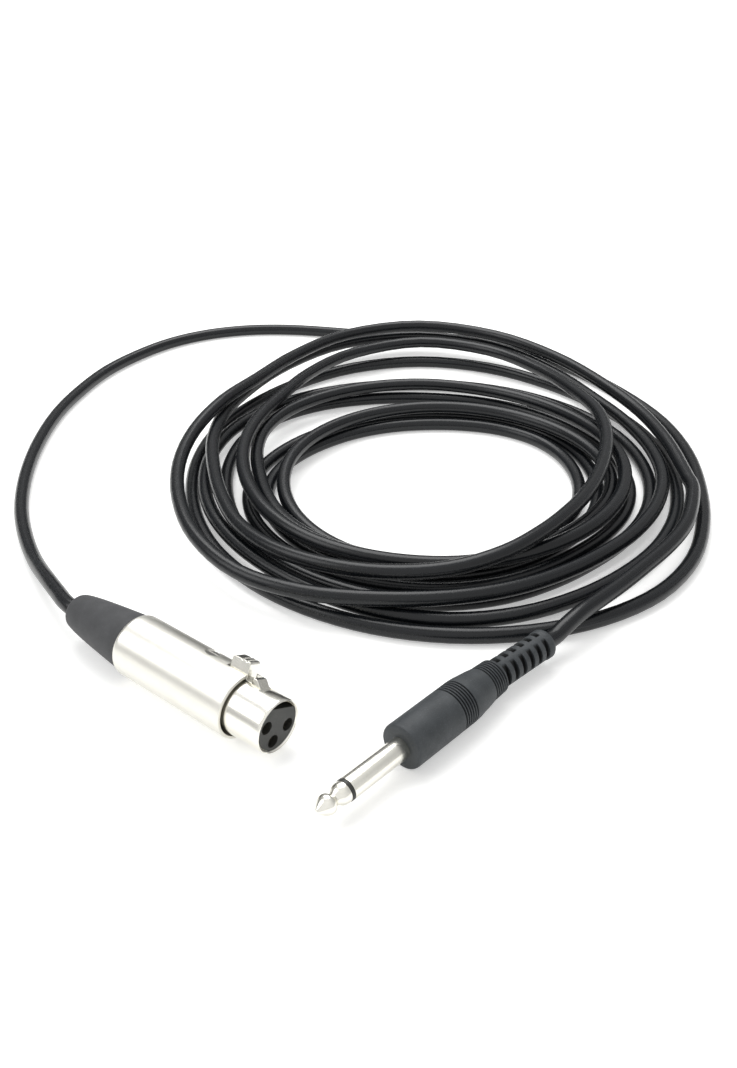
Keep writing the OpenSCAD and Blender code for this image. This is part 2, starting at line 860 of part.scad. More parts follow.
// Points that the cable passes between the round plug and the coil.
plug_lead_points = [
    [ -85,  58, 7.6],
    [ -94,  74, 4.6],
    [-102,  91, 3.2],
    [-109, 110, 2.75],
    [-114, 131, floor_z],
    [-117, 153, floor_z],
    [-118, 175, floor_z],
    [-117, 197, floor_z],
    [-113, 219, floor_z],
    [-106, 242, floor_z],
    [ -95, 262, floor_z],
    [ -81, 279, floor_z],
    [ -63, 291, floor_z],
    [ -42, 297, floor_z],
    [ -20, 297, floor_z],
    [   2, 293, floor_z],
    [  22, 288.5, floor_z]];

// Points that the cable passes between the coil and the jack.
jack_lead_points = [
    [135, 108, 9.8],
    [129,  92, 9.2],
    [120,  78, 9],
    [109,  65, 9],
    [ 97,  52, 9]];

// Height that the cable gains behind the jack, where it climbs over the lowest loop.
jack_lead_climb = 2.4;

function flat(p) = [p.x, p.y];

// A route lifted wherever it would touch the loops below it, but for its end spans.
function laid_over(route, loops_below) =
    let (last = len(route) - 1,
         rest = [for (p = route) max([for (j = [0:len(loops_below) - 2])
             rest_on(flat(p), flat(loops_below[j]), flat(loops_below[j + 1]),
                 loops_below[j].z, loops_below[j + 1].z)])])
    [for (i = [0:last]) i < 2 || i > last - 2 ? route[i]
        : [route[i].x, route[i].y, max(route[i].z, eased(rest, i))]];

module cable_lead_plug() {
    start = coil_route()[0];
    route = concat([plug_exit, plug_exit - cable_d * plug_axis], plug_lead_points,
        [start - [cable_d, 0, 0], start]);
    color([0.08, 0.08, 0.09])
        tube(squared(route, lead_steps), cable_r, lead_sides);
}

module cable_lead_jack() {
    coil = coil_route();
    finish = coil[len(coil) - 1];
    below = [for (i = [0:len(coil) - rings_a_loop / 2]) coil[i]];
    route = concat([finish, finish - [0, cable_d, 0]], jack_lead_points,
        [jack_exit + 3 * cable_d * relief_axis + [0, 0, jack_lead_climb],
         jack_exit + cable_d * relief_axis, jack_exit]);
    color([0.08, 0.08, 0.09])
        tube(laid_over(squared(route, lead_steps), below), cable_r, lead_sides);
}

cable_coil();
cable_lead_plug();
cable_lead_jack();
xlr_shell();
xlr_boot();
xlr_nose_sleeve();
xlr_socket_insert();
xlr_contact_1();
xlr_contact_2();
xlr_contact_3();
xlr_latch();
xlr_latch_pin();
xlr_latch_spring();
xlr_insert_screw();
xlr_cable_clamp();
xlr_cable_end();
xlr_core_wire();
xlr_screen_tail();
xlr_link_wire();
jack_handle();
jack_sleeve();
jack_insulating_ring();
jack_inner_insulator();
jack_tip();
jack_tip_tag();
jack_tag_washer();
jack_sleeve_tag();
jack_inner_mould();
jack_cable_end();
jack_core_wire();
jack_screen_tail();
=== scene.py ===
"""Instrument cable: a latching three-pole round plug, a coiled black cable and a 6.35 mm jack plug.

Everything is in metres in the part's own frame. Sizes are written in millimetres and
turned into metres where a mesh is made.
"""

import json
import logging
import math
from dataclasses import dataclass, field
from enum import Enum
from functools import cached_property
from typing import Optional, Sequence, Union

import bpy
import numpy as np
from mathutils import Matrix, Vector


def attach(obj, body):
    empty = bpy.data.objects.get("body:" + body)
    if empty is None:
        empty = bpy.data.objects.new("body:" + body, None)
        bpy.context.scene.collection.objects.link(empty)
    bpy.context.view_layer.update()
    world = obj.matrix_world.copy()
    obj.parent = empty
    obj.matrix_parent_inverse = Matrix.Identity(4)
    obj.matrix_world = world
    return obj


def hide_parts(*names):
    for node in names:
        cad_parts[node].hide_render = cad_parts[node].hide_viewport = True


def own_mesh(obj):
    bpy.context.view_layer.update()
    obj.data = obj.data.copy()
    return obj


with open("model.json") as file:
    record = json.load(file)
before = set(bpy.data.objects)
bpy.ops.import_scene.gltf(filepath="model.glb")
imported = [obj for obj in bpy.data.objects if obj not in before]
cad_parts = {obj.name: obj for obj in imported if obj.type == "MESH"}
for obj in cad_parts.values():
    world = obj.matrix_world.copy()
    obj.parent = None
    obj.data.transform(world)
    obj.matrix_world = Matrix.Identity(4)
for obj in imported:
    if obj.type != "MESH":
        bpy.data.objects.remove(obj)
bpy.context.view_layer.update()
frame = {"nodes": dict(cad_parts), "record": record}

log = logging.getLogger("instrument_cable")

MM = 0.001
MAIN_BODY = "cable_and_plugs"
LATCH_BODY = "latch"
TURNED_SIDES = 96  # points round a turned piece
Array = np.ndarray
Colour = tuple[float, float, float]
Value = Union["Signal", float]
Piece = bpy.types.Object
Material = bpy.types.Material


# ---- Shader building -------------------------------------------------------------------------


class Signal:
    """A shader socket whose arithmetic adds Math nodes."""

    def __init__(self, shader: "Shader", socket: bpy.types.NodeSocket) -> None:
        """Wrap one output socket of a shader's tree."""
        self.shader = shader
        self.socket = socket

    def _math(self, operation: str, *values: Value) -> "Signal":
        """Add one Math node on the given values and return its result."""
        return self.shader.node("Math", dict(enumerate(values)), operation=operation).out(0)

    def __add__(self, other: Value) -> "Signal":
        """Sum."""
        return self._math("ADD", self, other)

    __radd__ = __add__

    def __sub__(self, other: Value) -> "Signal":
        """Difference."""
        return self._math("SUBTRACT", self, other)

    def __rsub__(self, other: Value) -> "Signal":
        """Difference with the operands the other way round."""
        return self._math("SUBTRACT", other, self)

    def __mul__(self, other: Value) -> "Signal":
        """Product."""
        return self._math("MULTIPLY", self, other)

    __rmul__ = __mul__

    def sin(self) -> "Signal":
        """Sine of an angle in radians."""
        return self._math("SINE", self)

    def cos(self) -> "Signal":
        """Cosine of an angle in radians."""
        return self._math("COSINE", self)

    def clamp(self, low: float = 0.0, high: float = 1.0) -> "Signal":
        """The value held between low and high."""
        return self._math("MINIMUM", self._math("MAXIMUM", self, low), high)

    def ramp(self, start: float, end: float) -> "Signal":
        """Rise evenly from 0 at start to 1 at end, in either direction.

        Args:
            start: value at which the result is 0.
            end: value at which the result is 1.

        Returns:
            The clamped share of the way from start to end.
        """
        return ((self - start) * (1.0 / (end - start))).clamp()


class NodeRef:
    """A shader node, for reading its outputs as signals."""

    def __init__(self, shader: "Shader", node: bpy.types.Node) -> None:
        """Keep the node and the shader it belongs to."""
        self.shader = shader
        self.node = node

    def out(self, key: Union[int, str]) -> Signal:
        """The output of that name or number."""
        return Signal(self.shader, self.node.outputs[key])


class Shader:
    """A node tree that is built from signals."""

    def __init__(self, tree: bpy.types.NodeTree) -> None:
        """Empty the tree."""
        tree.nodes.clear()
        self.tree = tree

    def feed(self, socket: bpy.types.NodeSocket, value: Union[Value, Sequence[float]]) -> None:
        """Link a signal to an input, or set its value, with an alpha of 1 for a colour.

        Args:
            socket: the input.
            value: a Signal, a number or a sequence of numbers.
        """
        if isinstance(value, Signal):
            self.tree.links.new(value.socket, socket)
        else:
            socket.default_value = (*value, 1.0) if socket.type == "RGBA" else value

    def node(self, kind: str, inputs: Optional[dict] = None, **settings: object) -> NodeRef:
        """Add any node.

        Args:
            kind: Blender's type name for the node, without its ShaderNode.
            inputs: socket name or number to a Signal, a number or a sequence of numbers.
            **settings: attributes that are set before the inputs.

        Returns:
            The new node, wrapped.
        """
        node = self.tree.nodes.new("ShaderNode" + kind)
        for key, value in settings.items():
            setattr(node, key, value)
        for key, value in (inputs or {}).items():
            self.feed(node.inputs[key], value)
        return NodeRef(self, node)

    @cached_property
    def coordinates(self) -> NodeRef:
        """The one Texture Coordinate node."""
        return self.node("TexCoord")

    def place(self) -> Signal:
        """Object coordinates, in metres."""
        return self.coordinates.out("Object")

    def uv(self) -> Signal:
        """The piece's own UV map."""
        return self.coordinates.out("UV")

    def turned(self, origin: Sequence[float], angles: Sequence[float]) -> Signal:
        """Object coordinates seen from a frame with this origin and these Euler angles."""
        inputs = {"Vector": self.place(), "Location": tuple(origin), "Rotation": tuple(angles)}
        return self.node("Mapping", inputs, vector_type="TEXTURE").out("Vector")

    def stretched(self, vector: Signal, factors: Sequence[float]) -> Signal:
        """A vector multiplied part by part."""
        return self.node("VectorMath", {0: vector, 1: tuple(factors)}, operation="MULTIPLY").out(0)

    def parts(self, vector: Signal) -> tuple[Signal, Signal, Signal]:
        """The x, y and z of a vector."""
        split = self.node("SeparateXYZ", {0: vector})
        return split.out(0), split.out(1), split.out(2)

    def joined(self, x: Value, y: Value, z: Value) -> Signal:
        """A vector from its x, y and z."""
        return self.node("CombineXYZ", {0: x, 1: y, 2: z}).out(0)

    def noise(self, vector: Signal, scale: float, detail: float = 2.0, roughness: float = 0.5) -> Signal:
        """Perlin noise from 0 to 1."""
        inputs = {"Vector": vector, "Scale": scale, "Detail": detail, "Roughness": roughness}
        return self.node("TexNoise", inputs).out("Fac")

    def mix(self, share: Value, first: Union[Signal, Colour], second: Union[Signal, Colour]) -> Signal:
        """A colour between first, at share 0, and second, at share 1."""
        return self.node("Mix", {0: share, 6: first, 7: second}, data_type="RGBA").out(2)

    def bump(self, height: Signal, distance: float) -> Signal:
        """A normal bent by a height, whose full range is distance metres."""
        return self.node("Bump", {"Height": height, "Distance": distance}).out("Normal")


class MaterialShader(Shader):
    """One material's node tree, built around a Principled surface."""

    def __init__(self, name: str) -> None:
        """Create the material with its surface and output.

        Args:
            name: the material's name.
        """
        self.material = bpy.data.materials.new(name)
        self.material.use_nodes = True
        super().__init__(self.material.node_tree)
        self.surface = self.node("BsdfPrincipled")
        self.output = self.node("OutputMaterial", {"Surface": self.surface.out("BSDF")})

    def finish(self, **inputs: Union[Value, Sequence[float]]) -> Material:
        """Set the surface's sockets and return the material.

        Args:
            **inputs: socket names with underscores for spaces, to values or signals.

        Returns:
            The finished material.
        """
        for key, value in inputs.items():
            self.feed(self.surface.node.inputs[key.replace("_", " ")], value)
        return self.material


# ---- Finishes --------------------------------------------------------------------------------


@dataclass(frozen=True)
class Placement:
    """A plug's own frame: where its station 0 is and how it is turned, in mm and degrees."""

    x: float
    y: float
    z: float
    yaw: float
    roll: float = 0.0

    def matrix(self) -> Array:
        """Roll about x, then yaw about z.

        Returns:
            (3, 3) rotation whose columns are the plug's own axes.
        """
        a, b = math.radians(self.yaw), math.radians(self.roll)
        yaw = np.array([[math.cos(a), -math.sin(a), 0], [math.sin(a), math.cos(a), 0], [0, 0, 1]])
        roll = np.array([[1, 0, 0], [0, math.cos(b), -math.sin(b)], [0, math.sin(b), math.cos(b)]])
        return yaw @ roll

    def origin(self) -> Array:
        """Station 0 in metres."""
        return np.array([self.x, self.y, self.z]) * MM

    def angles(self) -> tuple[float, float, float]:
        """The same turn as Blender's XYZ angles."""
        return math.radians(self.roll), 0.0, math.radians(self.yaw)

    def to_world(self, points: Array) -> Array:
        """Points of the plug's frame in mm, carried into the part's frame in metres."""
        return self.origin() + (points * MM) @ self.matrix().T


PLUG_PLACE = Placement(-49.4, 21.5, 9.5, -39.0, -27.0)
JACK_PLACE = Placement(26.5, -18.7, 6.7, 227.0)


@dataclass(frozen=True)
class JacketFinish:
    """Satin black cable jacket with drawn streaks along it and a little dust."""

    name: str = "cable_jacket"
    base: Colour = (0.003, 0.0038, 0.005)
    dusty: Colour = (0.016, 0.020, 0.025)
    roughness: float = 0.24
    specular: float = 0.36
    depth: float = 0.00005
    twist: float = 3.2
    stretch: float = 9.0

    def build(self) -> Material:
        """Streaks are noise on a cylinder of the cable's own u, stretched far along v.

        Returns:
            The finished material.
        """
        s = MaterialShader(self.name)
        u, v, _ = s.parts(s.uv())
        around = u * (2 * math.pi)
        drawn = s.joined(around.cos() * self.twist, around.sin() * self.twist, v * self.stretch)
        streak = s.noise(drawn, 1.6, 3.0, 0.6)
        grain = s.noise(s.place(), 2600.0, 2.0, 0.6)
        patch = s.noise(s.place(), 34.0, 2.0)
        dust = (s.noise(s.place(), 900.0, 3.0, 0.7).ramp(0.56, 0.74) * patch.ramp(0.35, 0.7)).clamp()
        colour = s.mix((streak.ramp(0.42, 0.75) * 0.35 + dust * 0.5).clamp(), self.base, self.dusty)
        rough = (self.roughness - 0.05 + streak * 0.10 + grain * 0.06 + dust * 0.15).clamp()
        return s.finish(
            Base_Color=colour,
            Roughness=rough,
            Specular_IOR_Level=self.specular,
            Normal=s.bump(streak * 0.6 + grain * 0.4, self.depth),
        )


@dataclass(frozen=True)
class NickelFinish:
    """Nickel plate on turned brass: a warm white metal with faint turning lines."""

    name: str
    base: Colour
    deep: Colour
    roughness: float
    pitch: float
    where: Placement
    depth: float

    def build(self) -> Material:
        """Turning lines are noise that varies quickly along the axis and slowly around it.

        Returns:
            The finished material.
        """
        s = MaterialShader(self.name)
        local = s.turned(self.where.origin(), self.where.angles())
        lines = s.noise(s.stretched(local, (1.0, 0.02, 0.02)), 1000.0 / self.pitch, 2.0, 0.7)
        cloud = s.noise(s.place(), 160.0, 3.0, 0.6)
        smudge = s.noise(s.place(), 420.0, 4.0, 0.65).ramp(0.5, 0.72)
        colour = s.mix((cloud.ramp(0.35, 0.75) * 0.6 + lines * 0.15).clamp(), self.base, self.deep)
        rough = (self.roughness + (lines - 0.5) * 0.04 + smudge * 0.04).clamp(0.03, 1.0)
        return s.finish(Base_Color=colour, Metallic=1.0, Roughness=rough, Normal=s.bump(lines, self.depth))


@dataclass(frozen=True)
class MouldedFinish:
    """Rubber or plastic from a mould: a fine eroded texture, scuffs and slight mottling."""

    name: str
    base: Colour
    worn: Colour
    roughness: float
    grain: float
    depth: float
    specular: float = 0.4
    wear: float = 0.35
    # Painted shade: the attribute of groove depth, and the near-black colour painted into grooves and
    # slots.
    painted_shade_attribute: str = ""
    painted_shade_colour: Colour = (0.002, 0.002, 0.002)

    def build(self) -> Material:
        """Grain is fine noise in the surface's height; scuffs are sparse lighter flecks.

        A piece with grooves names its attribute of their depth, which darkens the colour towards near
        black: painted shade in its grooves and slots.

        Returns:
            The finished material.
        """
        s = MaterialShader(self.name)
        fine = s.noise(s.place(), 1000.0 / self.grain, 3.0, 0.65)
        mottle = s.noise(s.place(), 240.0, 3.0, 0.55)
        fleck = s.noise(s.place(), 2300.0, 2.0, 0.7).ramp(0.6, 0.74)
        share = (mottle.ramp(0.35, 0.75) * 0.45 + fleck * self.wear).clamp()
        rough = (self.roughness + (fine - 0.5) * 0.16 - fleck * 0.08).clamp(0.05, 1.0)
        colour = s.mix(share, self.base, self.worn)
        # Painted shade: the colour goes towards near black with the depth of the grooves and slots.
        if self.painted_shade_attribute:
            depth = s.node("Attribute", attribute_name=self.painted_shade_attribute).out("Fac")
            colour = s.mix(depth.ramp(0.05, 0.6) * 0.92, colour, self.painted_shade_colour)
        return s.finish(
            Base_Color=colour,
            Roughness=rough,
            Specular_IOR_Level=self.specular,
            Normal=s.bump(fine, self.depth),
        )


@dataclass(frozen=True)
class MetalFinish:
    """A small plain metal part, drawn or pressed, with a cloudy tint."""

    name: str
    base: Colour
    deep: Colour
    roughness: float
    depth: float = 0.00001

    def build(self) -> Material:
        """Tint follows cloudy noise; roughness and height follow fine scratches.

        Returns:
            The finished material.
        """
        s = MaterialShader(self.name)
        cloud = s.noise(s.place(), 700.0, 3.0, 0.6)
        scratch = s.noise(s.stretched(s.place(), (1.0, 1.0, 6.0)), 2200.0, 2.0, 0.6)
        return s.finish(
            Base_Color=s.mix(cloud.ramp(0.35, 0.7), self.base, self.deep),
            Metallic=1.0,
            Roughness=(self.roughness + (scratch - 0.5) * 0.2).clamp(0.05, 1.0),
            Normal=s.bump(scratch, self.depth),
        )


# ---- Meshes ----------------------------------------------------------------------------------


def hermite(points: Array, leave: Array, arrive: Array, steps: int) -> Array:
    """Cubic spans through points.

    Span i leaves point i with the slope leave[i] and reaches point i + 1 with the slope
    arrive[i], where a slope is the way covered in one whole span at that speed.

    Args:
        points: (n, k) points in order.
        leave: (n - 1, k) slopes at the starts of the spans.
        arrive: (n - 1, k) slopes at their ends.
        steps: parts that each span is cut into.

    Returns:
        ((n - 1) * steps + 1, k) points.
    """
    t = (np.arange(steps) / steps)[None, :, None]
    blend = 3 * t**2 - 2 * t**3
    curve = points[:-1, None] * (1 - blend) + points[1:, None] * blend
    curve = curve + leave[:, None] * (t**3 - 2 * t**2 + t) + arrive[:, None] * (t**3 - t**2)
    return np.concatenate([curve.reshape(-1, points.shape[1]), points[-1:]])


def catmull(points: Array, steps: int) -> Array:
    """A curve through even points, whose slope is half the step between a point's neighbours.

    Args:
        points: (n, k) points in order.
        steps: parts that each span is cut into.

    Returns:
        ((n - 1) * steps + 1, k) points.
    """
    padded = np.concatenate([points[:1], points, points[-1:]])
    slope = (padded[2:] - padded[:-2]) / 2
    return hermite(points, slope[:-1], slope[1:], steps)


def smooth_line(points: Array, steps: int) -> Array:
    """A curve through points that lie unevenly far apart.

    The slope at a point is the mean of the two spans that meet there, each weighted by the
    other's length.

    Args:
        points: (n, k) points in order.
        steps: parts that each span is cut into.

    Returns:
        ((n - 1) * steps + 1, k) points.
    """
    run = np.diff(points, axis=0)
    span = np.linalg.norm(run, axis=1, keepdims=True)
    way = run / span
    middle = (way[:-1] * span[1:] + way[1:] * span[:-1]) / (span[:-1] + span[1:])
    slope = np.concatenate([way[:1], middle, way[-1:]])
    return hermite(points, slope[:-1] * span, slope[1:] * span, steps)


def filleted(corners: Sequence[tuple[float, float]], radius: float, steps: int = 4) -> Array:
    """A profile whose corners are rounded.

    Each inner corner becomes a quadratic arc between the points one radius before and
    after it, or half a side where the side is short.

    Args:
        corners: (station, radius) corners in order, in mm.
        radius: size of the rounding, in mm.
        steps: points in each arc.

    Returns:
        (n, 2) points of the profile.
    """
    p = np.array(corners, float)
    sides = np.diff(p, axis=0)
    lengths = np.linalg.norm(sides, axis=1)
    units = sides / lengths[:, None]
    reach = np.minimum(radius, np.minimum(lengths[:-1], lengths[1:]) * 0.45)[:, None]
    start, mid, end = p[1:-1] - units[:-1] * reach, p[1:-1], p[1:-1] + units[1:] * reach
    t = np.linspace(0, 1, steps)[None, :, None]
    arcs = (1 - t) ** 2 * start[:, None] + 2 * t * (1 - t) * mid[:, None] + t**2 * end[:, None]
    return np.concatenate([p[:1], arcs.reshape(-1, 2), p[-1:]])


class Ends(Enum):
    """How the two ends of a tube-like grid are finished."""

    OPEN = "open"
    CAPPED = "capped"
    JOINED = "joined"


def add_object(name: str, vertices: Array, faces: list, uvs: Optional[Array] = None) -> Piece:
    """Put vertices and faces into a smooth-shaded mesh object at the origin.

    Args:
        name: the piece's name.
        vertices: (n, 3) points in metres.
        faces: tuples of vertex numbers.
        uvs: (loops, 2) texture coordinates in the order of the faces' corners.

    Returns:
        The new object.
    """
    mesh = bpy.data.meshes.new(name)
    mesh.from_pydata(vertices.tolist(), [], faces)
    if uvs is not None:
        layer = mesh.uv_layers.new(name="uv")
        layer.data.foreach_set("uv", uvs.astype(np.float32).ravel())
    mesh.polygons.foreach_set("use_smooth", np.ones(len(mesh.polygons), bool))
    mesh.update()
    piece = bpy.data.objects.new(name, mesh)
    bpy.context.scene.collection.objects.link(piece)
    return piece


def surface(
    name: str,
    rings: Array,
    ends: Ends = Ends.CAPPED,
    keep: Optional[Array] = None,
    v_of_ring: Optional[Array] = None,
) -> Piece:
    """A mesh from a grid of rings.

    Quad (i, j) joins ring i and i + 1 at the points j and j + 1, taken round the ring. Where
    quads are left out, the ends are open and the points that no quad uses go too.

    Args:
        name: the piece's name.
        rings: (n, m, 3) points in metres, counter-clockwise seen from the last ring.
        ends: whether the ends are open, capped with a fan, or joined to one another.
        keep: (n - 1, m) flags of the quads that are kept.
        v_of_ring: texture v of each ring.

    Returns:
        The new object.
    """
    n, m = rings.shape[:2]
    rows = n if ends is Ends.JOINED else n - 1
    i, j = np.meshgrid(np.arange(rows), np.arange(m), indexing="ij")
    i2, j2 = (i + 1) % n, (j + 1) % m
    quads = np.stack([i * m + j, i * m + j2, i2 * m + j2, i2 * m + j], axis=-1)
    v = np.arange(n, dtype=float) if v_of_ring is None else v_of_ring
    u0, u1, v0, v1 = j / m, (j + 1) / m, v[i], v[i2]
    uv = np.stack([np.stack(c, -1) for c in ((u0, v0), (u1, v0), (u1, v1), (u0, v1))], axis=-2)
    vertices = rings.reshape(-1, 3)
    if keep is not None:
        used, quads = np.unique(quads[keep], return_inverse=True)
        vertices, uv = vertices[used], uv[keep]
    faces = quads.reshape(-1, 4).tolist()
    uv = uv.reshape(-1, 2)
    if ends is Ends.CAPPED:
        centres = np.stack([rings[0].mean(0), rings[-1].mean(0)])
        vertices = np.concatenate([vertices, centres])
        k = np.arange(m)
        first = np.stack([np.full(m, n * m), (k + 1) % m, k], axis=-1)
        last = np.stack([np.full(m, n * m + 1), (n - 1) * m + k, (n - 1) * m + (k + 1) % m], axis=-1)
        faces = faces + first.tolist() + last.tolist()
        uv = np.concatenate([uv, np.zeros((6 * m, 2))])
    return add_object(name, vertices, faces, uv)


def revolve(profile: Array, where: Placement, angles: Array, sunk: Union[Array, float] = 0.0) -> Array:
    """Rings of a surface of revolution about the plug's x axis.

    The point for station x, radius r and angle a is (x, r cos a, r sin a).

    Args:
        profile: (n, 2) stations and radii in mm.
        where: the plug's frame.
        angles: (m,) angles in radians.
        sunk: (n, m) depths in mm that are taken off the radius.

    Returns:
        (n, m, 3) points in metres.
    """
    x, r = profile[:, :1], profile[:, 1:] - sunk
    rings = np.broadcast_arrays(x, r * np.cos(angles), r * np.sin(angles))
    return where.to_world(np.stack(rings, axis=-1))


def around(count: int) -> Array:
    """Even angles round a circle."""
    return np.arange(count) * (2 * math.pi / count)


def tube(line: Array, radius: float, sides: int) -> Array:
    """Rings round a centre line.

    The ring at c is c + r (cos a side + sin a rise), where side is level and square to the
    line and rise is square to both.

    Args:
        line: (n, 3) centre line.
        radius: the tube's radius in the line's unit.
        sides: points in each ring.

    Returns:
        (n, sides, 3) points.
    """
    ahead = np.gradient(line, axis=0)
    ahead /= np.linalg.norm(ahead, axis=1, keepdims=True)
    side = np.cross([0.0, 0.0, 1.0], ahead)
    side /= np.linalg.norm(side, axis=1, keepdims=True)
    rise = np.cross(ahead, side)
    a = around(sides)[None, :, None]
    return line[:, None] + radius * (np.cos(a) * side[:, None] + np.sin(a) * rise[:, None])


def modify(piece: Piece, kind: str, **settings: object) -> None:
    """Add a modifier.

    Args:
        piece: the piece that gets it.
        kind: Blender's name for its type.
        **settings: its attributes.
    """
    modifier = piece.modifiers.new(kind.title(), kind)
    for key, value in settings.items():
        setattr(modifier, key, value)


def bevel(piece: Piece, width: float, segments: int, angle: float) -> None:
    """Round the edges sharper than an angle in degrees by a width in mm."""
    sharp = math.radians(angle)
    modify(piece, "BEVEL", width=width * MM, segments=segments, limit_method="ANGLE", angle_limit=sharp)


def split_edges(piece: Piece) -> None:
    """Keep the corners of a turned or moulded piece crisp in its shading."""
    modify(piece, "EDGE_SPLIT", split_angle=math.radians(50))


def coat(piece: Piece, material: Material) -> None:
    """Make this the piece's only material."""
    piece.data.materials.clear()
    piece.data.materials.append(material)


@dataclass
class Dresser:
    """Dresses pieces and solids, and keeps the nodes that pieces have replaced."""

    looks: dict[str, Material]
    replaced: set[str] = field(default_factory=set)

    def settle(self, piece: Piece, slot: str, *nodes: str, body: str = MAIN_BODY, look: str = "") -> None:
        """Dress a new piece, put it on its body and hide the nodes it replaces.

        Args:
            piece: the new piece.
            slot: the record's material slot.
            *nodes: the nodes that it replaces.
            body: the body that it rides on.
            look: name of its finish where it isn't the slot's own.
        """
        coat(piece, self.looks[look or slot])
        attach(piece, body)
        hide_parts(*nodes)
        self.replaced.update(nodes)
        log.info("%s: %d faces, replaces %s", piece.name, len(piece.data.polygons), ", ".join(nodes))

    def dress_rest(self) -> None:
        """Give the finished solids that stay in view their materials."""
        for part in frame["record"]["subparts"]:
            if part["node"] not in self.replaced:
                coat(frame["nodes"][part["node"]], self.looks[part["material_slot"]])


# ---- The cable -------------------------------------------------------------------------------


@dataclass
class Cable:
    """The free cable: from the round plug's boot, round the coil, to the jack's relief, in mm.

    Each row of loops is one loop, the lowest first, as the distance from the centre at every
    eighth of a turn, clockwise from the back. A lead's point is x, y and, off the table, z.
    """

    dresser: Dresser
    plug_exit: Array
    plug_axis: Array
    jack_exit: Array
    relief_axis: Array
    diameter: float = 5.2
    gap: float = 0.7
    centre: tuple[float, float] = (43.0, 127.0)
    rings_a_part: int = 3
    parts_a_loop: int = 8
    ease: int = 2
    climb: float = 2.4
    sides: int = 20
    fine: int = 4
    loops: tuple = (
        (160, 126, 101, 98, 92, 89, 92, 108),
        (127, 108, 92, 84, 86, 82, 87, 97),
        (99, 94, 82, 72, 75, 75, 79, 90),
        (84, 81, 74, 65, 67, 69, 70, 66),
        (66, 68, 62, 58, 60, 62, 63, 58),
        (57, 61, 55, 51, 54, 56, 57, 58),
        (62, 65, 66, 60, 61, 63, 66, 83),
        (86, 78, 71, 66, 66, 68, 72, 88),
        (130, 90, 63, 60, 75, 80, 83, 109),
        (148, 104, 86, 76, 82, 95, 96, 104),
        (145, 110, 94),
    )
    plug_lead: tuple = (
        (-85, 58, 7.6), (-94, 74, 4.6), (-102, 91, 3.2), (-109, 110, 2.75), (-114, 131), (-117, 153),
        (-118, 175), (-117, 197), (-113, 219), (-106, 242), (-95, 262), (-81, 279),
        (-63, 291), (-42, 297), (-20, 297), (2, 293), (22, 288.5),
    )
    jack_lead: tuple = ((135, 108, 9.8), (129, 92, 9.2), (120, 78, 9), (109, 65, 9), (97, 52, 9))

    @property
    def radius(self) -> float:
        """Half the diameter."""
        return self.diameter / 2

    @property
    def rings_a_loop(self) -> int:
        """Rings in one turn of the coil."""
        return self.rings_a_part * self.parts_a_loop

    def plan(self) -> Array:
        """The coil seen from above, with its radius a smooth curve of the turn.

        Returns:
            (n, 2) points, one a ring.
        """
        reaches = np.array([r for row in self.loops for r in row], float)[:, None]
        mirrored = np.concatenate([reaches[1:2], reaches, reaches[-2:-1]])
        whole = catmull(mirrored, self.rings_a_part)[self.rings_a_part : -self.rings_a_part, 0]
        turn = np.arange(len(whole)) * 2 * math.pi / self.rings_a_loop
        return np.array(self.centre) + whole[:, None] * np.stack([np.sin(turn), np.cos(turn)], -1)

    def resting(self, p: Array, below: Array) -> float:
        """Height at which a strand rests on the highest of the strands below it.

        Args:
            p: (2,) the strand's place seen from above.
            below: (n, 3) centre line of the strands below.

        Returns:
            Height of the strand's middle, or 0 where nothing is below it.
        """
        start, run = below[:-1, :2], np.diff(below[:, :2], axis=0)
        u = np.clip(((p - start) * run).sum(-1) / (run * run).sum(-1), 0, 1)
        d = np.linalg.norm(p - start - u[:, None] * run, axis=-1)
        reach = self.diameter + self.gap
        height = below[:-1, 2] * (1 - u) + below[1:, 2] * u + np.sqrt(np.maximum(reach**2 - d**2, 0))
        return float(np.where(d >= reach, 0.0, height).max())

    def eased(self, raw: Array, i: int) -> float:
        """Mean over the near rings of the highest of their own near rings.

        Args:
            raw: heights of the rings.
            i: number of the ring.

        Returns:
            The ring's smoother height.
        """
        e, top = self.ease, len(raw) - 1
        near = range(max(0, i - e), min(top, i + e) + 1)
        return float(np.mean([raw[max(0, k - e) : min(top, k + e) + 1].max() for k in near]))

    def heights(self, plan: Array) -> Array:
        """Lay the coil on the table and on the loops laid at least half a turn before.

        Args:
            plan: (n, 2) the coil seen from above.

        Returns:
            (n,) height of each ring.
        """
        half = self.rings_a_loop // 2
        raw, laid = [], []
        for i, p in enumerate(plan):
            j = max(0, i - half)
            under = self.resting(p, np.column_stack([plan[: j + 1], laid[: j + 1]])) if j else 0.0
            raw.append(max(self.radius, under))
            done = len(raw) - 2 * self.ease - 1
            if done >= 0:
                laid.append(self.eased(np.array(raw), done))
        whole = np.array(raw)
        return np.array(laid + [self.eased(whole, k) for k in range(len(laid), len(raw))])

    def coil(self) -> Array:
        """The coil with a straight start and finish.

        Returns:
            (n, 3) centre line, one point a ring.
        """
        plan = self.plan()
        line = np.concatenate([plan, self.heights(plan)[:, None]], axis=1)
        start = line[0] - [self.diameter, 0, 0]
        finish = line[-1] - [0, self.diameter, 0]
        return np.concatenate([[start], line, [finish]])

    def lifted(self, line: Array, below: Array) -> Array:
        """Raise a lead wherever it would touch the loops below it, but for its ends.

        Args:
            line: (n, 3) the lead's centre line.
            below: (m, 3) centre line of the loops.

        Returns:
            (n, 3) the raised line.
        """
        rest = np.array([self.resting(p, below) for p in line[:, :2]])
        over = np.array([self.eased(rest, i) for i in range(len(line))])
        raised = line.copy()
        raised[2:-2, 2] = np.maximum(line[2:-2, 2], over[2:-2])
        return raised

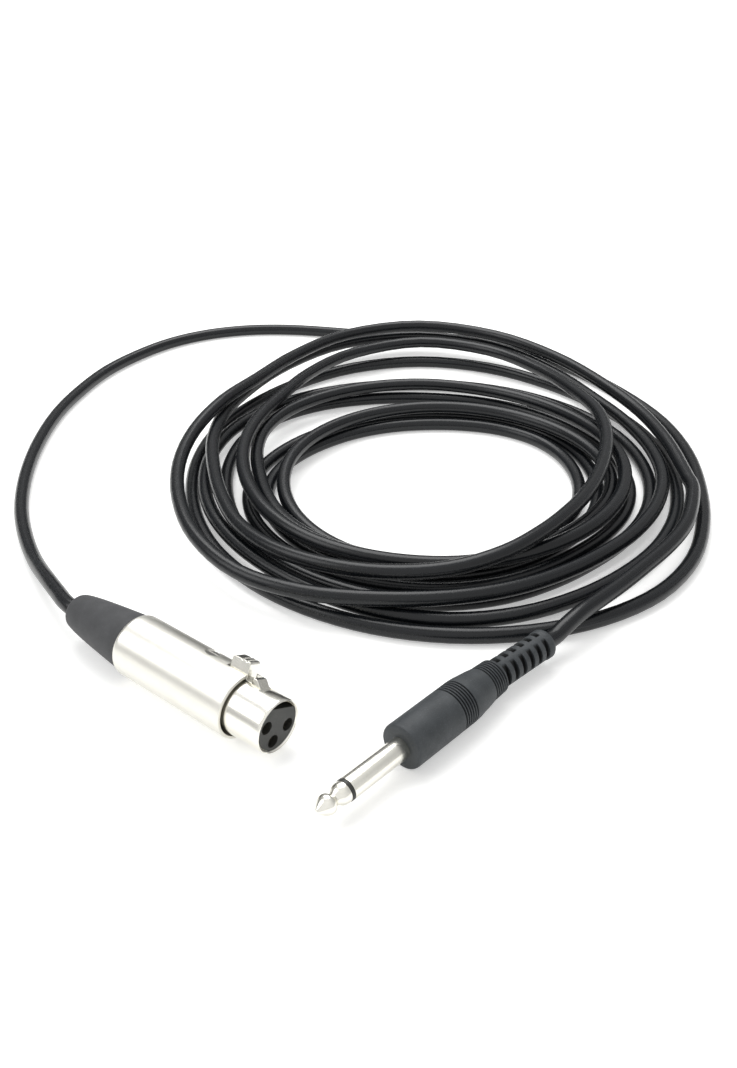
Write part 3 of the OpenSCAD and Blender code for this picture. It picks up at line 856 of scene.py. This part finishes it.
    def route(self) -> Array:
        """Join lead, coil and lead in one smooth curve.

        Returns:
            (n, 3) centre line in mm.
        """
        d, coil = self.diameter, self.coil()
        near = np.array([(*p, self.radius)[:3] for p in self.plug_lead], float)
        lead = np.concatenate([[self.plug_exit, self.plug_exit - d * self.plug_axis], near])
        lead = catmull(np.concatenate([lead, [coil[0] - [d, 0, 0], coil[0]]]), 2)
        out = self.jack_exit
        ends = [out + 3 * d * self.relief_axis + [0, 0, self.climb], out + d * self.relief_axis, out]
        back = catmull(np.concatenate([[coil[-1], coil[-1] - [0, d, 0]], self.jack_lead, ends]), 2)
        back = self.lifted(back, coil[: len(coil) - self.rings_a_loop // 2])
        return smooth_line(np.concatenate([lead[:-1], coil[:-1], back]), self.fine)

    def build(self) -> None:
        line = self.route()
        run = np.concatenate([[0], np.cumsum(np.linalg.norm(np.diff(line, axis=0), axis=1))])
        rings = tube(line, self.radius, self.sides)
        piece = surface("cable_jacket", rings * MM, Ends.CAPPED, v_of_ring=run * MM)
        self.dresser.settle(
            piece, "cable_jacket", "cable_coil", "cable_lead_plug", "cable_lead_jack")
        self.diameter * MM
        log.info("cable_jacket: %.3f m long", run[-1] * MM)


# ---- The round plug --------------------------------------------------------------------------


@dataclass
class RoundPlug:
    """Metal shell, rubber boot, bright nose and thumb latch of the three-pole plug, in mm."""

    dresser: Dresser
    where: Placement = PLUG_PLACE
    shell_r: float = 9.5
    shell_len: float = 43.5
    shell_wall: float = 1.1
    nose_r: float = 7.9
    nose_len: float = 13.0
    nose_wall: float = 0.9
    boot_len: float = 27.0
    boot_front_r: float = 8.65
    boot_neck_r: float = 7.7
    boot_rear_r: float = 5.7
    boot_flange_r: float = 8.3
    cable_bore: float = 2.65
    latch_w: float = 4.0
    latch_t: float = 1.3
    slot_half: float = 2.3
    slot_len: float = 7.5
    slot_spans: int = 24
    rest_spans: int = 115
    hook_slot: float = 7.0
    nose_tail: float = 9.4
    pad_len: float = 6.6
    pad_height: float = 3.3
    pivot_back: float = 10.7
    pivot_z: float = 6.2
    boss_r: float = 1.3
    screw_x: float = 28.6
    screw_r: float = 2.1
    screw_depth: float = 0.45
    spring_back: float = 5.0
    spring_r: float = 1.2
    spring_wire: float = 0.17
    spring_turns: int = 3
    pocket_floor: float = 2.6
    lever_low: float = 5.6

    @property
    def nose_end(self) -> float:
        """Station of the nose's front edge."""
        return self.shell_len + self.nose_len

    @property
    def exit(self) -> Array:
        """Where the cable leaves the boot, in mm of the part's frame."""
        return self.where.origin() / MM - self.boot_len * self.axis

    @property
    def axis(self) -> Array:
        """Direction from the boot to the nose."""
        return self.where.matrix()[:, 0]

    def slotted_angles(self, half_width: float, radius: float) -> Array:
        """Angles round the axis, first those across a slot at the top, then the rest.

        Args:
            half_width: half the slot's width.
            radius: radius at which it has that width.

        Returns:
            slot_spans angles across the slot and rest_spans round the rest.
        """
        top, half = math.pi / 2, math.asin(half_width / radius)
        across = np.linspace(top - half, top + half, self.slot_spans + 1)
        rest = np.linspace(top + half, top + 2 * math.pi - half, self.rest_spans + 1)
        return np.concatenate([across[:-1], rest[:-1]])

    def plated(
        self, name: str, rings: Array, open_rows: Array, wall: float, sharp: float
    ) -> Piece:
        """A skin with its slot left out, thickened inwards and with its edges rounded.

        Args:
            name: the piece's name.
            rings: rings at the slotted angles.
            open_rows: one flag for each row of quads, true where the slot passes.
            wall: thickness in mm.
            sharp: angle in degrees past which an edge is rounded.

        Returns:
            The new piece.
        """
        keep = np.ones((len(rings) - 1, rings.shape[1]), bool)
        keep[np.ix_(open_rows, np.arange(self.slot_spans))] = False
        piece = surface(name, rings, Ends.OPEN, keep)
        modify(piece, "SOLIDIFY", thickness=wall * MM, offset=-1.0, use_even_offset=True)
        bevel(piece, 0.12, 2, sharp)
        return piece

    def shell(self) -> None:
        """Outer skin of revolution with the latch's slot at its front.

        The screw's seat is sunk where the distance to its middle, measured on the skin,
        is under the seat's radius.
        """
        end, r = self.shell_len, self.shell_r
        corners = [(0, self.boot_neck_r + 0.1), (0, r - 0.6), (0.9, r), (end, r), (end, self.nose_r + 0.75)]
        skin = filleted(corners, 0.5, 5)
        seat = self.screw_x + np.arange(-2.5, 2.51, 0.2)
        stations = np.concatenate([[2.0, 10.0, 18.0], seat, [end - self.slot_len, end - 4.0]])
        straight = int(np.argmax(np.linalg.norm(np.diff(skin, axis=0), axis=1))) + 1
        added = np.stack([stations, np.full(len(stations), r)], axis=1)
        skin = np.concatenate([skin[:straight], added, skin[straight:]])
        angles = self.slotted_angles(self.slot_half, r)
        off = np.hypot(skin[:, :1] - self.screw_x, r * (angles - math.pi / 2))
        sunk = self.screw_depth * np.clip((self.screw_r + 0.15 - off) / 0.2, 0, 1)
        rings = revolve(skin, self.where, angles, sunk)
        slot = skin[:-1, 0] >= end - self.slot_len - 0.01
        piece = self.plated("xlr_shell_metal", rings, slot, self.shell_wall, 50)
        self.dresser.settle(piece, "satin_nickel", "xlr_shell")

    def nose(self) -> None:
        """Bright sleeve with a rounded rim, slotted for the latch's hook."""
        start, end, r = self.shell_len, self.nose_end, self.nose_r
        slot_end = start + self.hook_slot
        profile = np.array([
            (start - self.nose_tail, r), (start - 4.0, r), (start, r), (start + 3.0, r),
            (slot_end, r), (slot_end + 3.0, r), (end - 0.9, r), (end - 0.45, r - 0.05),
            (end - 0.15, r - 0.18), (end, r - 0.4)])
        rings = revolve(profile, self.where, self.slotted_angles(self.latch_w / 2 + 0.3, r))
        slot = profile[:-1, 0] < slot_end - 0.01
        piece = self.plated("xlr_nose_metal", rings, slot, self.nose_wall, 40)
        self.dresser.settle(piece, "bright_nickel", "xlr_nose_sleeve")

    def boot(self) -> None:
        """Rubber boot: a smooth taper from the shell to the cable with a rounded rear."""
        end, front, rear = -self.boot_len, self.boot_front_r, self.boot_rear_r
        neck, bore, flange = self.boot_neck_r, self.cable_bore, self.boot_flange_r
        outline = catmull(np.array(
            [(-0.06, front), (-2.5, front - 0.06), (-6.5, front - 0.45), (-12.0, front - 1.05),
             (-17.5, front - 1.7), (-22.0, rear + 0.6), (end + 2.2, rear + 0.05), (end + 0.9, rear - 0.35),
             (end + 0.15, rear - 1.15), (end, rear - 2.2), (end + 0.05, bore + 0.2), (end + 0.5, bore)]), 4)
        inner = np.array(
            [(3.6, bore), (3.7, bore), (3.7, flange), (1.6, flange), (1.55, neck), (-0.05, neck)])
        profile = np.concatenate([inner, outline])[::-1]
        piece = surface("xlr_boot_rubber", revolve(profile, self.where, around(TURNED_SIDES)), Ends.JOINED)
        self.dresser.settle(piece, "boot_rubber", "xlr_boot")

    def latch(self) -> None:
        """Lever, thumb pad with two cross grooves, and hook: one outline across the width."""
        front, low, r = self.shell_len, self.lever_low, self.nose_r
        pivot, hook = front - self.pivot_back, front + 2.2
        back, top = front - self.pad_len, self.shell_r + self.pad_height
        high = low + self.latch_t
        arc = np.linspace(-0.5, -1.5, 7)[:, None] * math.pi
        round_pin = np.concatenate([np.cos(arc), -np.sin(arc)], 1)[::-1]
        boss = np.array([pivot, self.pivot_z]) + self.boss_r * round_pin
        outline = np.concatenate([np.array([
            (pivot + 1.0, low), (hook + 3.8, low), (hook + 3.8, high), (hook + 1.2, r + 1.5),
            (hook, r + 1.5), (hook - 0.3, r), (front, r), (front, top - 0.5), (front - 0.35, top - 0.05),
            (front - 1.3, top), (front - 1.4, top - 0.35), (front - 1.7, top - 0.35), (front - 1.8, top),
            (front - 2.9, top - 0.05), (front - 3.0, top - 0.4), (front - 3.3, top - 0.4),
            (front - 3.4, top - 0.05), (back + 0.9, top - 0.2), (back + 0.25, top - 0.45),
            (back, top - 1.0), (back, high), (pivot + 1.0, high)]), boss])
        n, half = len(outline), self.latch_w / 2
        sides = [np.stack([outline[:, 0], np.full(n, y), outline[:, 1]], 1) for y in (-half, half)]
        k = np.arange(n)
        k2 = np.roll(k, -1)
        faces = np.stack([k + n, k2 + n, k2, k], 1).tolist() + [k.tolist(), (k + n)[::-1].tolist()]
        piece = add_object("xlr_latch_metal", self.where.to_world(np.concatenate(sides)), faces)
        piece.data.polygons.foreach_set("use_smooth", np.zeros(len(faces), bool))
        bevel(piece, 0.16, 3, 25)
        self.dresser.settle(piece, "bright_nickel", "xlr_latch", body=LATCH_BODY)

    def spring(self) -> None:
        """Wire wound in a helix under the lever."""
        t = np.linspace(0, 1, 24 * self.spring_turns + 1)
        a = t * 2 * math.pi * self.spring_turns
        middle, floor = self.shell_len - self.spring_back, self.pocket_floor
        rise = self.lever_low - floor - 2 * self.spring_wire
        line = np.stack([middle + self.spring_r * np.cos(a), self.spring_r * np.sin(a),
                         floor + self.spring_wire + rise * t], 1)
        rings = tube(line, self.spring_wire, 10)
        piece = surface("xlr_latch_spring_wire", self.where.to_world(rings), Ends.CAPPED)
        self.dresser.settle(piece, "steel_pin", "xlr_latch_spring")
        up = self.where.matrix()[:, 2]
        foot = self.where.to_world(np.array([middle, 0, floor]))
        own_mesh(piece)


# ---- The jack plug ---------------------------------------------------------------------------


@dataclass
class JackPlug:
    """Moulded grip with grooves and a slotted relief, shaft, black ring and tip, in mm."""

    dresser: Dresser
    where: Placement = JACK_PLACE
    shaft_r: float = 3.175
    shaft_len: float = 31.0
    tip_len: float = 9.7
    ring_len: float = 1.1
    grip_r: float = 6.7
    neck_r: float = 5.5
    relief_r: float = 4.5
    grip_len: float = 62.5
    relief_bend: float = 3.8
    relief_front: float = -39.9
    front_group: float = 18.9
    rear_group: float = 33.7
    groove_count: int = 6
    groove_pitch: float = 0.95
    groove_w: float = 0.42
    groove_depth: float = 0.7
    slot_count: int = 6
    slot_rows: int = 3
    slot_roll: float = 18.0
    slot_w: float = 1.7
    slot_floor: float = 2.85
    slot_start: float = 0.5
    slot_end: float = 0.4
    collar_step: float = 2.6
    cable_bore: float = 2.65
    grip_sides: int = 120

    @property
    def relief_len(self) -> float:
        """Length of the bent part."""
        return self.grip_len + self.relief_front

    @property
    def relief_axis(self) -> Array:
        """Direction of the cable as it leaves the relief."""
        turn = math.radians(self.where.yaw - self.relief_bend)
        return -np.array([math.cos(turn), math.sin(turn), 0.0])

    @property
    def exit(self) -> Array:
        """Where the cable leaves the relief, in mm of the part's frame."""
        start = self.where.origin() / MM + self.relief_front * self.where.matrix()[:, 0]
        return start + self.relief_len * self.relief_axis

    def outline(self, s: Array) -> Array:
        """The grip without its grooves and slots.

        Args:
            s: distances behind its front face.

        Returns:
            Radii at these distances.
        """
        neck, rear = -self.relief_front, self.grip_len
        collar = rear - self.collar_step
        grip, waist, relief = self.grip_r, self.neck_r, self.relief_r
        table = np.array([
            (0, grip - 0.5), (0.2, grip - 0.15), (0.7, grip), (24, grip), (26.5, grip - 0.1),
            (28.5, grip - 0.4), (31.5, waist + 0.45), (33.2, waist + 0.15), (34.2, waist),
            (neck - 0.5, waist - 0.25), (neck - 0.12, waist - 0.55), (neck + 0.12, relief + 0.15),
            (neck + 1.5, relief), (collar - 0.15, relief - 0.1), (collar + 0.1, relief + 0.1),
            (rear - 0.9, relief + 0.1), (rear - 0.35, relief - 0.2), (rear, relief - 0.75)])
        return np.interp(s, table[:, 0], table[:, 1])

    def grooves(self) -> Array:
        """Front edges of all the grooves."""
        k = np.arange(self.groove_count) * self.groove_pitch
        return np.concatenate([self.front_group + k, self.rear_group + k])

    def slots(self) -> Array:
        """Spread the slots evenly over the relief.

        Returns:
            Distances of their front edges.
        """
        span = self.relief_len - self.slot_start - self.collar_step - self.slot_end - self.slot_w
        first = -self.relief_front + self.slot_start
        return first + np.arange(self.slot_count) * span / (self.slot_count - 1)

    def stations(self) -> Array:
        """Even steps, and the edges of all that changes the radius.

        Returns:
            Distances at which a ring is needed, front to rear.
        """
        even = np.concatenate([np.arange(0, self.grip_len, 1.0), [0.1, 0.2, 0.35, 0.6, 0.9, 1.3, 1.8]])
        step = np.array([-0.08, 0.03, 0.1, 0.32, 0.39, 0.5])
        grooves = (self.grooves()[:, None] + step).ravel()
        edge = np.array([-0.05, 0.06, 0.5, 0.9, self.slot_w - 0.06, self.slot_w + 0.05])
        slots = (self.slots()[:, None] + edge).ravel()
        neck, rear = -self.relief_front, self.grip_len
        collar = rear - self.collar_step
        marks = [neck - 0.5, neck - 0.12, neck + 0.12, collar - 0.15, collar + 0.1,
                 rear - 0.9, rear - 0.6, rear - 0.35, rear - 0.15, rear]
        return np.unique(np.round(np.concatenate([even, grooves, slots, marks]), 3))

    def radius(self, s: Array, a: Array) -> Array:
        """Radius at distance s and angle a.

        A groove takes a rounded bite out of every angle. A slot cuts the round down to
        floor / cos of the angle from the slot's middle, wherever that is smaller.

        Args:
            s: (n, 1) distances.
            a: (1, m) angles.

        Returns:
            (n, m) radii.
        """
        r = np.broadcast_to(self.outline(s), (s.shape[0], a.shape[1])).copy()
        middle = self.grooves()[None, :] + self.groove_w / 2
        bite = np.clip(1 - (2 * np.abs(s - middle) / (self.groove_w + 0.12)) ** 4, 0, 1)
        r = r - self.groove_depth * bite.max(1, keepdims=True)
        spacing = 2 * math.pi / self.slot_rows
        off = (a - math.radians(self.slot_roll) + spacing / 2) % spacing - spacing / 2
        chord = self.slot_floor / np.cos(off)
        past = s - self.slots()[None, :]
        cut = np.clip((past + 0.05) / 0.11, 0, 1) * np.clip((self.slot_w + 0.05 - past) / 0.11, 0, 1)
        return r - cut.max(1, keepdims=True) * np.maximum(r - chord, 0)

    def handle(self) -> None:
        """The whole moulded grip as one surface of distance and angle, bent at the neck."""
        s = self.stations()[:, None]
        a = around(self.grip_sides)[None, :]
        r = self.radius(s, a)
        hole, bore, end = self.shaft_r - 0.2, self.cable_bore, self.grip_len
        front = np.array([(-1.0, hole), (0.0, hole), (0.0, self.grip_r - 2.2)])
        rear = np.array([(end, bore + 0.1), (end - 0.3, bore), (end - 3.0, bore)])
        caps = [np.repeat(rows[:, 1:], a.shape[1], axis=1) for rows in (front, rear)]
        radii = np.concatenate([caps[0], r, caps[1]])
        along = np.concatenate([-front[:, 0], s[:, 0], rear[:, 0]])
        local = np.stack(np.broadcast_arrays(-along[:, None], radii * np.cos(a), radii * np.sin(a)), -1)
        share = np.clip((along + self.relief_front + 0.4) / 0.8, 0, 1)[:, None]
        bend = -math.radians(self.relief_bend) * share
        x, y, z = local[..., 0] - self.relief_front, local[..., 1], local[..., 2]
        cos, sin = np.cos(bend), np.sin(bend)
        bent = np.stack([x * cos - y * sin, x * sin + y * cos, z], -1)
        bent[..., 0] += self.relief_front
        piece = surface("jack_handle_moulding", self.where.to_world(bent)[::-1], Ends.CAPPED)
        # Depth of the grooves and slots, kept on the mesh so that the grip's material paints shade into
        # them.
        depth = np.zeros(radii.shape)
        depth[len(front) : len(front) + len(s)] = np.clip(self.outline(s) - r, 0, 1)
        layer = piece.data.attributes.new("painted_shade_depth", "FLOAT", "POINT")
        values = np.concatenate([depth[::-1].ravel(), [0.0, 0.0]])
        layer.data.foreach_set("value", values.astype(np.float32))
        split_edges(piece)
        self.dresser.settle(piece, "grip_plastic", "jack_handle")

    def turned(self, name: str, profile: Array) -> Piece:
        """A closed turned piece with crisp corners.

        Args:
            name: the piece's name.
            profile: (n, 2) stations and radii in mm.

        Returns:
            The new piece.
        """
        piece = surface(name, revolve(profile, self.where, around(TURNED_SIDES)), Ends.CAPPED)
        split_edges(piece)
        return piece

    def shaft(self) -> None:
        """Sleeve contact from the grip to the insulating ring."""
        end, r = self.shaft_len - self.tip_len - self.ring_len, self.shaft_r
        corners = [(-3.0, 0.5), (-3.0, r - 0.22), (0.02, r - 0.22), (0.02, r),
                   (end, r), (end, r - 0.4), (end, 0.5)]
        piece = self.turned("jack_shaft_metal", filleted(corners, 0.12))
        self.dresser.settle(piece, "bright_nickel", "jack_sleeve", look="jack_nickel")

    def ring(self) -> None:
        """Black insulating ring, a hair below the metal on each side of it."""
        front, r = self.shaft_len - self.tip_len, self.shaft_r - 0.02
        rear = front - self.ring_len
        corners = [(rear, 0.5), (rear, r), (front, r), (front, 0.5)]
        piece = self.turned("jack_ring_moulding", filleted(corners, 0.1))
        self.dresser.settle(piece, "insert_plastic", "jack_insulating_ring")

    def tip(self) -> None:
        """Tip contact: shoulder, waist, ball and blunt point, as one smooth turned profile."""
        t, r = self.shaft_len - self.tip_len, self.shaft_r
        outline = catmull(np.array([
            (t + 0.1, r - 0.12), (t + 0.9, r - 0.12), (t + 1.6, r - 0.24), (t + 2.3, 2.68), (t + 2.9, 2.28),
            (t + 3.4, 1.88), (t + 3.7, 1.73), (t + 4.0, 1.8), (t + 4.5, 2.2), (t + 5.0, 2.62),
            (t + 5.5, 2.82), (t + 6.0, 2.86), (t + 6.6, 2.76), (t + 7.4, 2.4), (t + 8.2, 1.84),
            (t + 8.9, 1.28), (t + 9.35, 0.88), (t + 9.62, 0.55), (t + 9.7, 0.2)]), 3)
        profile = np.concatenate([[(t, 0.4), (t, r - 0.25), (t + 0.02, r - 0.14)], outline])
        rings = revolve(profile, self.where, around(TURNED_SIDES))
        piece = surface("jack_tip_metal", rings, Ends.CAPPED)
        self.dresser.settle(piece, "bright_nickel", "jack_tip", look="jack_nickel")


# ---- Studio ----------------------------------------------------------------------------------


@dataclass
class Studio:
    """White table, large soft lights and the camera, in metres."""

    camera_place: tuple[float, float, float] = (0.0180, -0.2223, 0.19598)
    pitch_down: float = 31.42
    focal_px: float = 1050.1
    picture: tuple[int, int] = (737, 1068)
    table_half: float = 6.0
    table_drop: float = 0.00005

    def camera(self) -> None:
        """Camera over the jack, looking level across the table and down at the coil."""
        data = bpy.data.cameras.new("view")
        data.sensor_width = 36.0
        data.lens = self.focal_px / max(self.picture) * data.sensor_width
        data.clip_start = 0.01
        data.clip_end = 50.0
        eye = bpy.data.objects.new("view", data)
        eye.location = self.camera_place
        eye.rotation_euler = (math.radians(90 - self.pitch_down), 0.0, 0.0)
        bpy.context.scene.collection.objects.link(eye)
        bpy.context.scene.camera = eye

    def floor(self) -> None:
        """A wide table top that is white to the eye and keeps soft shadows."""
        size, z = self.table_half, -self.table_drop
        corners = np.array([(-size, -size, z), (size, -size, z), (size, size, z), (-size, size, z)])
        top = add_object("table_top", corners, [(0, 1, 2, 3)])
        s = MaterialShader("table_paper")
        speck = s.noise(s.place(), 60.0, 2.0)
        paper = s.mix(speck, (0.86, 0.862, 0.85), (0.90, 0.902, 0.89))
        s.finish(Base_Color=paper, Roughness=0.9, Specular_IOR_Level=0.1)
        rays = s.node("LightPath")
        direct = rays.out("Is Camera Ray") + rays.out("Is Glossy Ray") + rays.out("Is Transmission Ray")
        away = s.node("VectorMath", {0: s.place()}, operation="LENGTH").out("Value")
        level = 0.38 + away.ramp(0.5, 2.5) * 0.72
        glow = s.node("Emission", {"Color": (1.0, 1.0, 1.0), "Strength": direct.clamp() * level})
        both = s.node("AddShader", {0: s.surface.out("BSDF"), 1: glow.out("Emission")})
        s.feed(s.output.node.inputs["Surface"], both.out(0))
        top.data.materials.append(s.material)

    def world(self) -> None:
        """Even white surroundings; what shines sees a brighter top and a dim strip behind."""
        world = bpy.data.worlds.new("studio")
        bpy.context.scene.world = world
        world.use_nodes = True
        s = Shader(world.node_tree)
        x, y, z = s.parts(s.coordinates.out("Generated"))
        level = 0.30 + z.ramp(0.0, 0.9) * 0.26 + y.ramp(-0.1, -0.9) * z.ramp(-0.2, 0.4) * 0.36
        rays = s.node("LightPath")
        seen, mirrored = rays.out("Is Camera Ray"), rays.out("Is Glossy Ray")
        front = (y.ramp(0.1, -0.6) + x.ramp(0.0, 0.8) * 0.6).clamp() * z.ramp(1.1, 0.2) * 0.36
        dusk = y.ramp(0.1, 0.7) * z.ramp(0.36, 0.08) * 0.28
        strength = level * (1 - seen) + seen + mirrored * (z.ramp(0.6, 0.95) * 0.35 + front - dusk)
        back = s.node("Background", {"Color": (1.0, 1.0, 1.0), "Strength": strength})
        s.node("OutputWorld", {"Surface": back.out(0)})

    def lamp(
        self, name: str, place: Sequence[float], target: Sequence[float], size: float, watts: float
    ) -> None:
        """A square soft light.

        Args:
            name: the lamp's name.
            place: where it is.
            target: the point it faces.
            size: its side.
            watts: its power.
        """
        data = bpy.data.lights.new(name, "AREA")
        data.shape = "SQUARE"
        data.size = size
        data.energy = watts
        lamp = bpy.data.objects.new(name, data)
        lamp.location = place
        lamp.rotation_euler = (Vector(target) - Vector(place)).to_track_quat("-Z", "Y").to_euler()
        bpy.context.scene.collection.objects.link(lamp)

    def build(self) -> None:
        """Camera, table, surroundings and lights."""
        self.camera()
        self.floor()
        self.world()
        self.lamp("key_above_behind", (-0.1, 0.7, 1.15), (0.02, 0.08, 0.0), 1.0, 13.0)
        self.lamp("fill_left", (-1.0, -0.1, 0.8), (0.0, 0.05, 0.0), 0.7, 4.0)
        bpy.context.scene.view_settings.view_transform = "Standard"


# ---- Putting it together ---------------------------------------------------------------------


def finished_looks() -> dict[str, Material]:
    """Build all the finishes.

    Returns:
        Material slots, and the jack's own nickel, with their materials.
    """
    makers: list = [
        JacketFinish(),
        NickelFinish("satin_nickel", (0.80, 0.788, 0.735), (0.75, 0.735, 0.67), 0.36, 0.3,
                     PLUG_PLACE, 0.0000012),
        NickelFinish("bright_nickel", (0.86, 0.845, 0.785), (0.79, 0.77, 0.695), 0.22, 0.4,
                     PLUG_PLACE, 0.0000006),
        MouldedFinish("boot_rubber", (0.050, 0.051, 0.054), (0.082, 0.084, 0.088), 0.62, 0.32, 0.00003),
        # The grip's material paints shade into its grooves and slots.
        MouldedFinish("grip_plastic", (0.036, 0.041, 0.045), (0.078, 0.085, 0.091), 0.55, 0.38, 0.00008,
                      wear=0.75, painted_shade_attribute="painted_shade_depth"),
        MouldedFinish("insert_plastic", (0.030, 0.031, 0.028), (0.062, 0.064, 0.057), 0.42, 0.25, 0.00001),
        MouldedFinish("clamp_plastic", (0.62, 0.60, 0.54), (0.72, 0.70, 0.64), 0.45, 0.3, 0.00001),
        MouldedFinish("core_insulation", (0.72, 0.71, 0.67), (0.80, 0.79, 0.76), 0.35, 0.3, 0.00001,
                      wear=0.1),
        MetalFinish("steel_pin", (0.74, 0.73, 0.71), (0.60, 0.59, 0.57), 0.34),
        MetalFinish("contact_brass", (0.78, 0.60, 0.30), (0.66, 0.49, 0.24), 0.30),
        MetalFinish("copper_wire", (0.78, 0.42, 0.26), (0.62, 0.31, 0.18), 0.38),
        MetalFinish("tag_metal", (0.70, 0.67, 0.58), (0.60, 0.56, 0.46), 0.33),
        NickelFinish("jack_nickel", (0.85, 0.835, 0.77), (0.77, 0.75, 0.67), 0.24, 0.4,
                     JACK_PLACE, 0.000001),
    ]
    return {maker.name: maker.build() for maker in makers}


def main() -> None:
    """Build the studio, the cable and both plugs, and note the sizes."""
    logging.basicConfig(level=logging.INFO, format="%(name)s: %(message)s")
    Studio().build()
    dresser = Dresser(finished_looks())
    plug, jack = RoundPlug(dresser), JackPlug(dresser)
    Cable(dresser, plug.exit, plug.axis, jack.exit, jack.relief_axis).build()
    for make in (plug.shell, plug.nose, plug.boot, plug.latch, plug.spring,
                 jack.handle, jack.shaft, jack.ring, jack.tip):
        make()
    dresser.dress_rest()


if __name__ == "__main__":
    main()
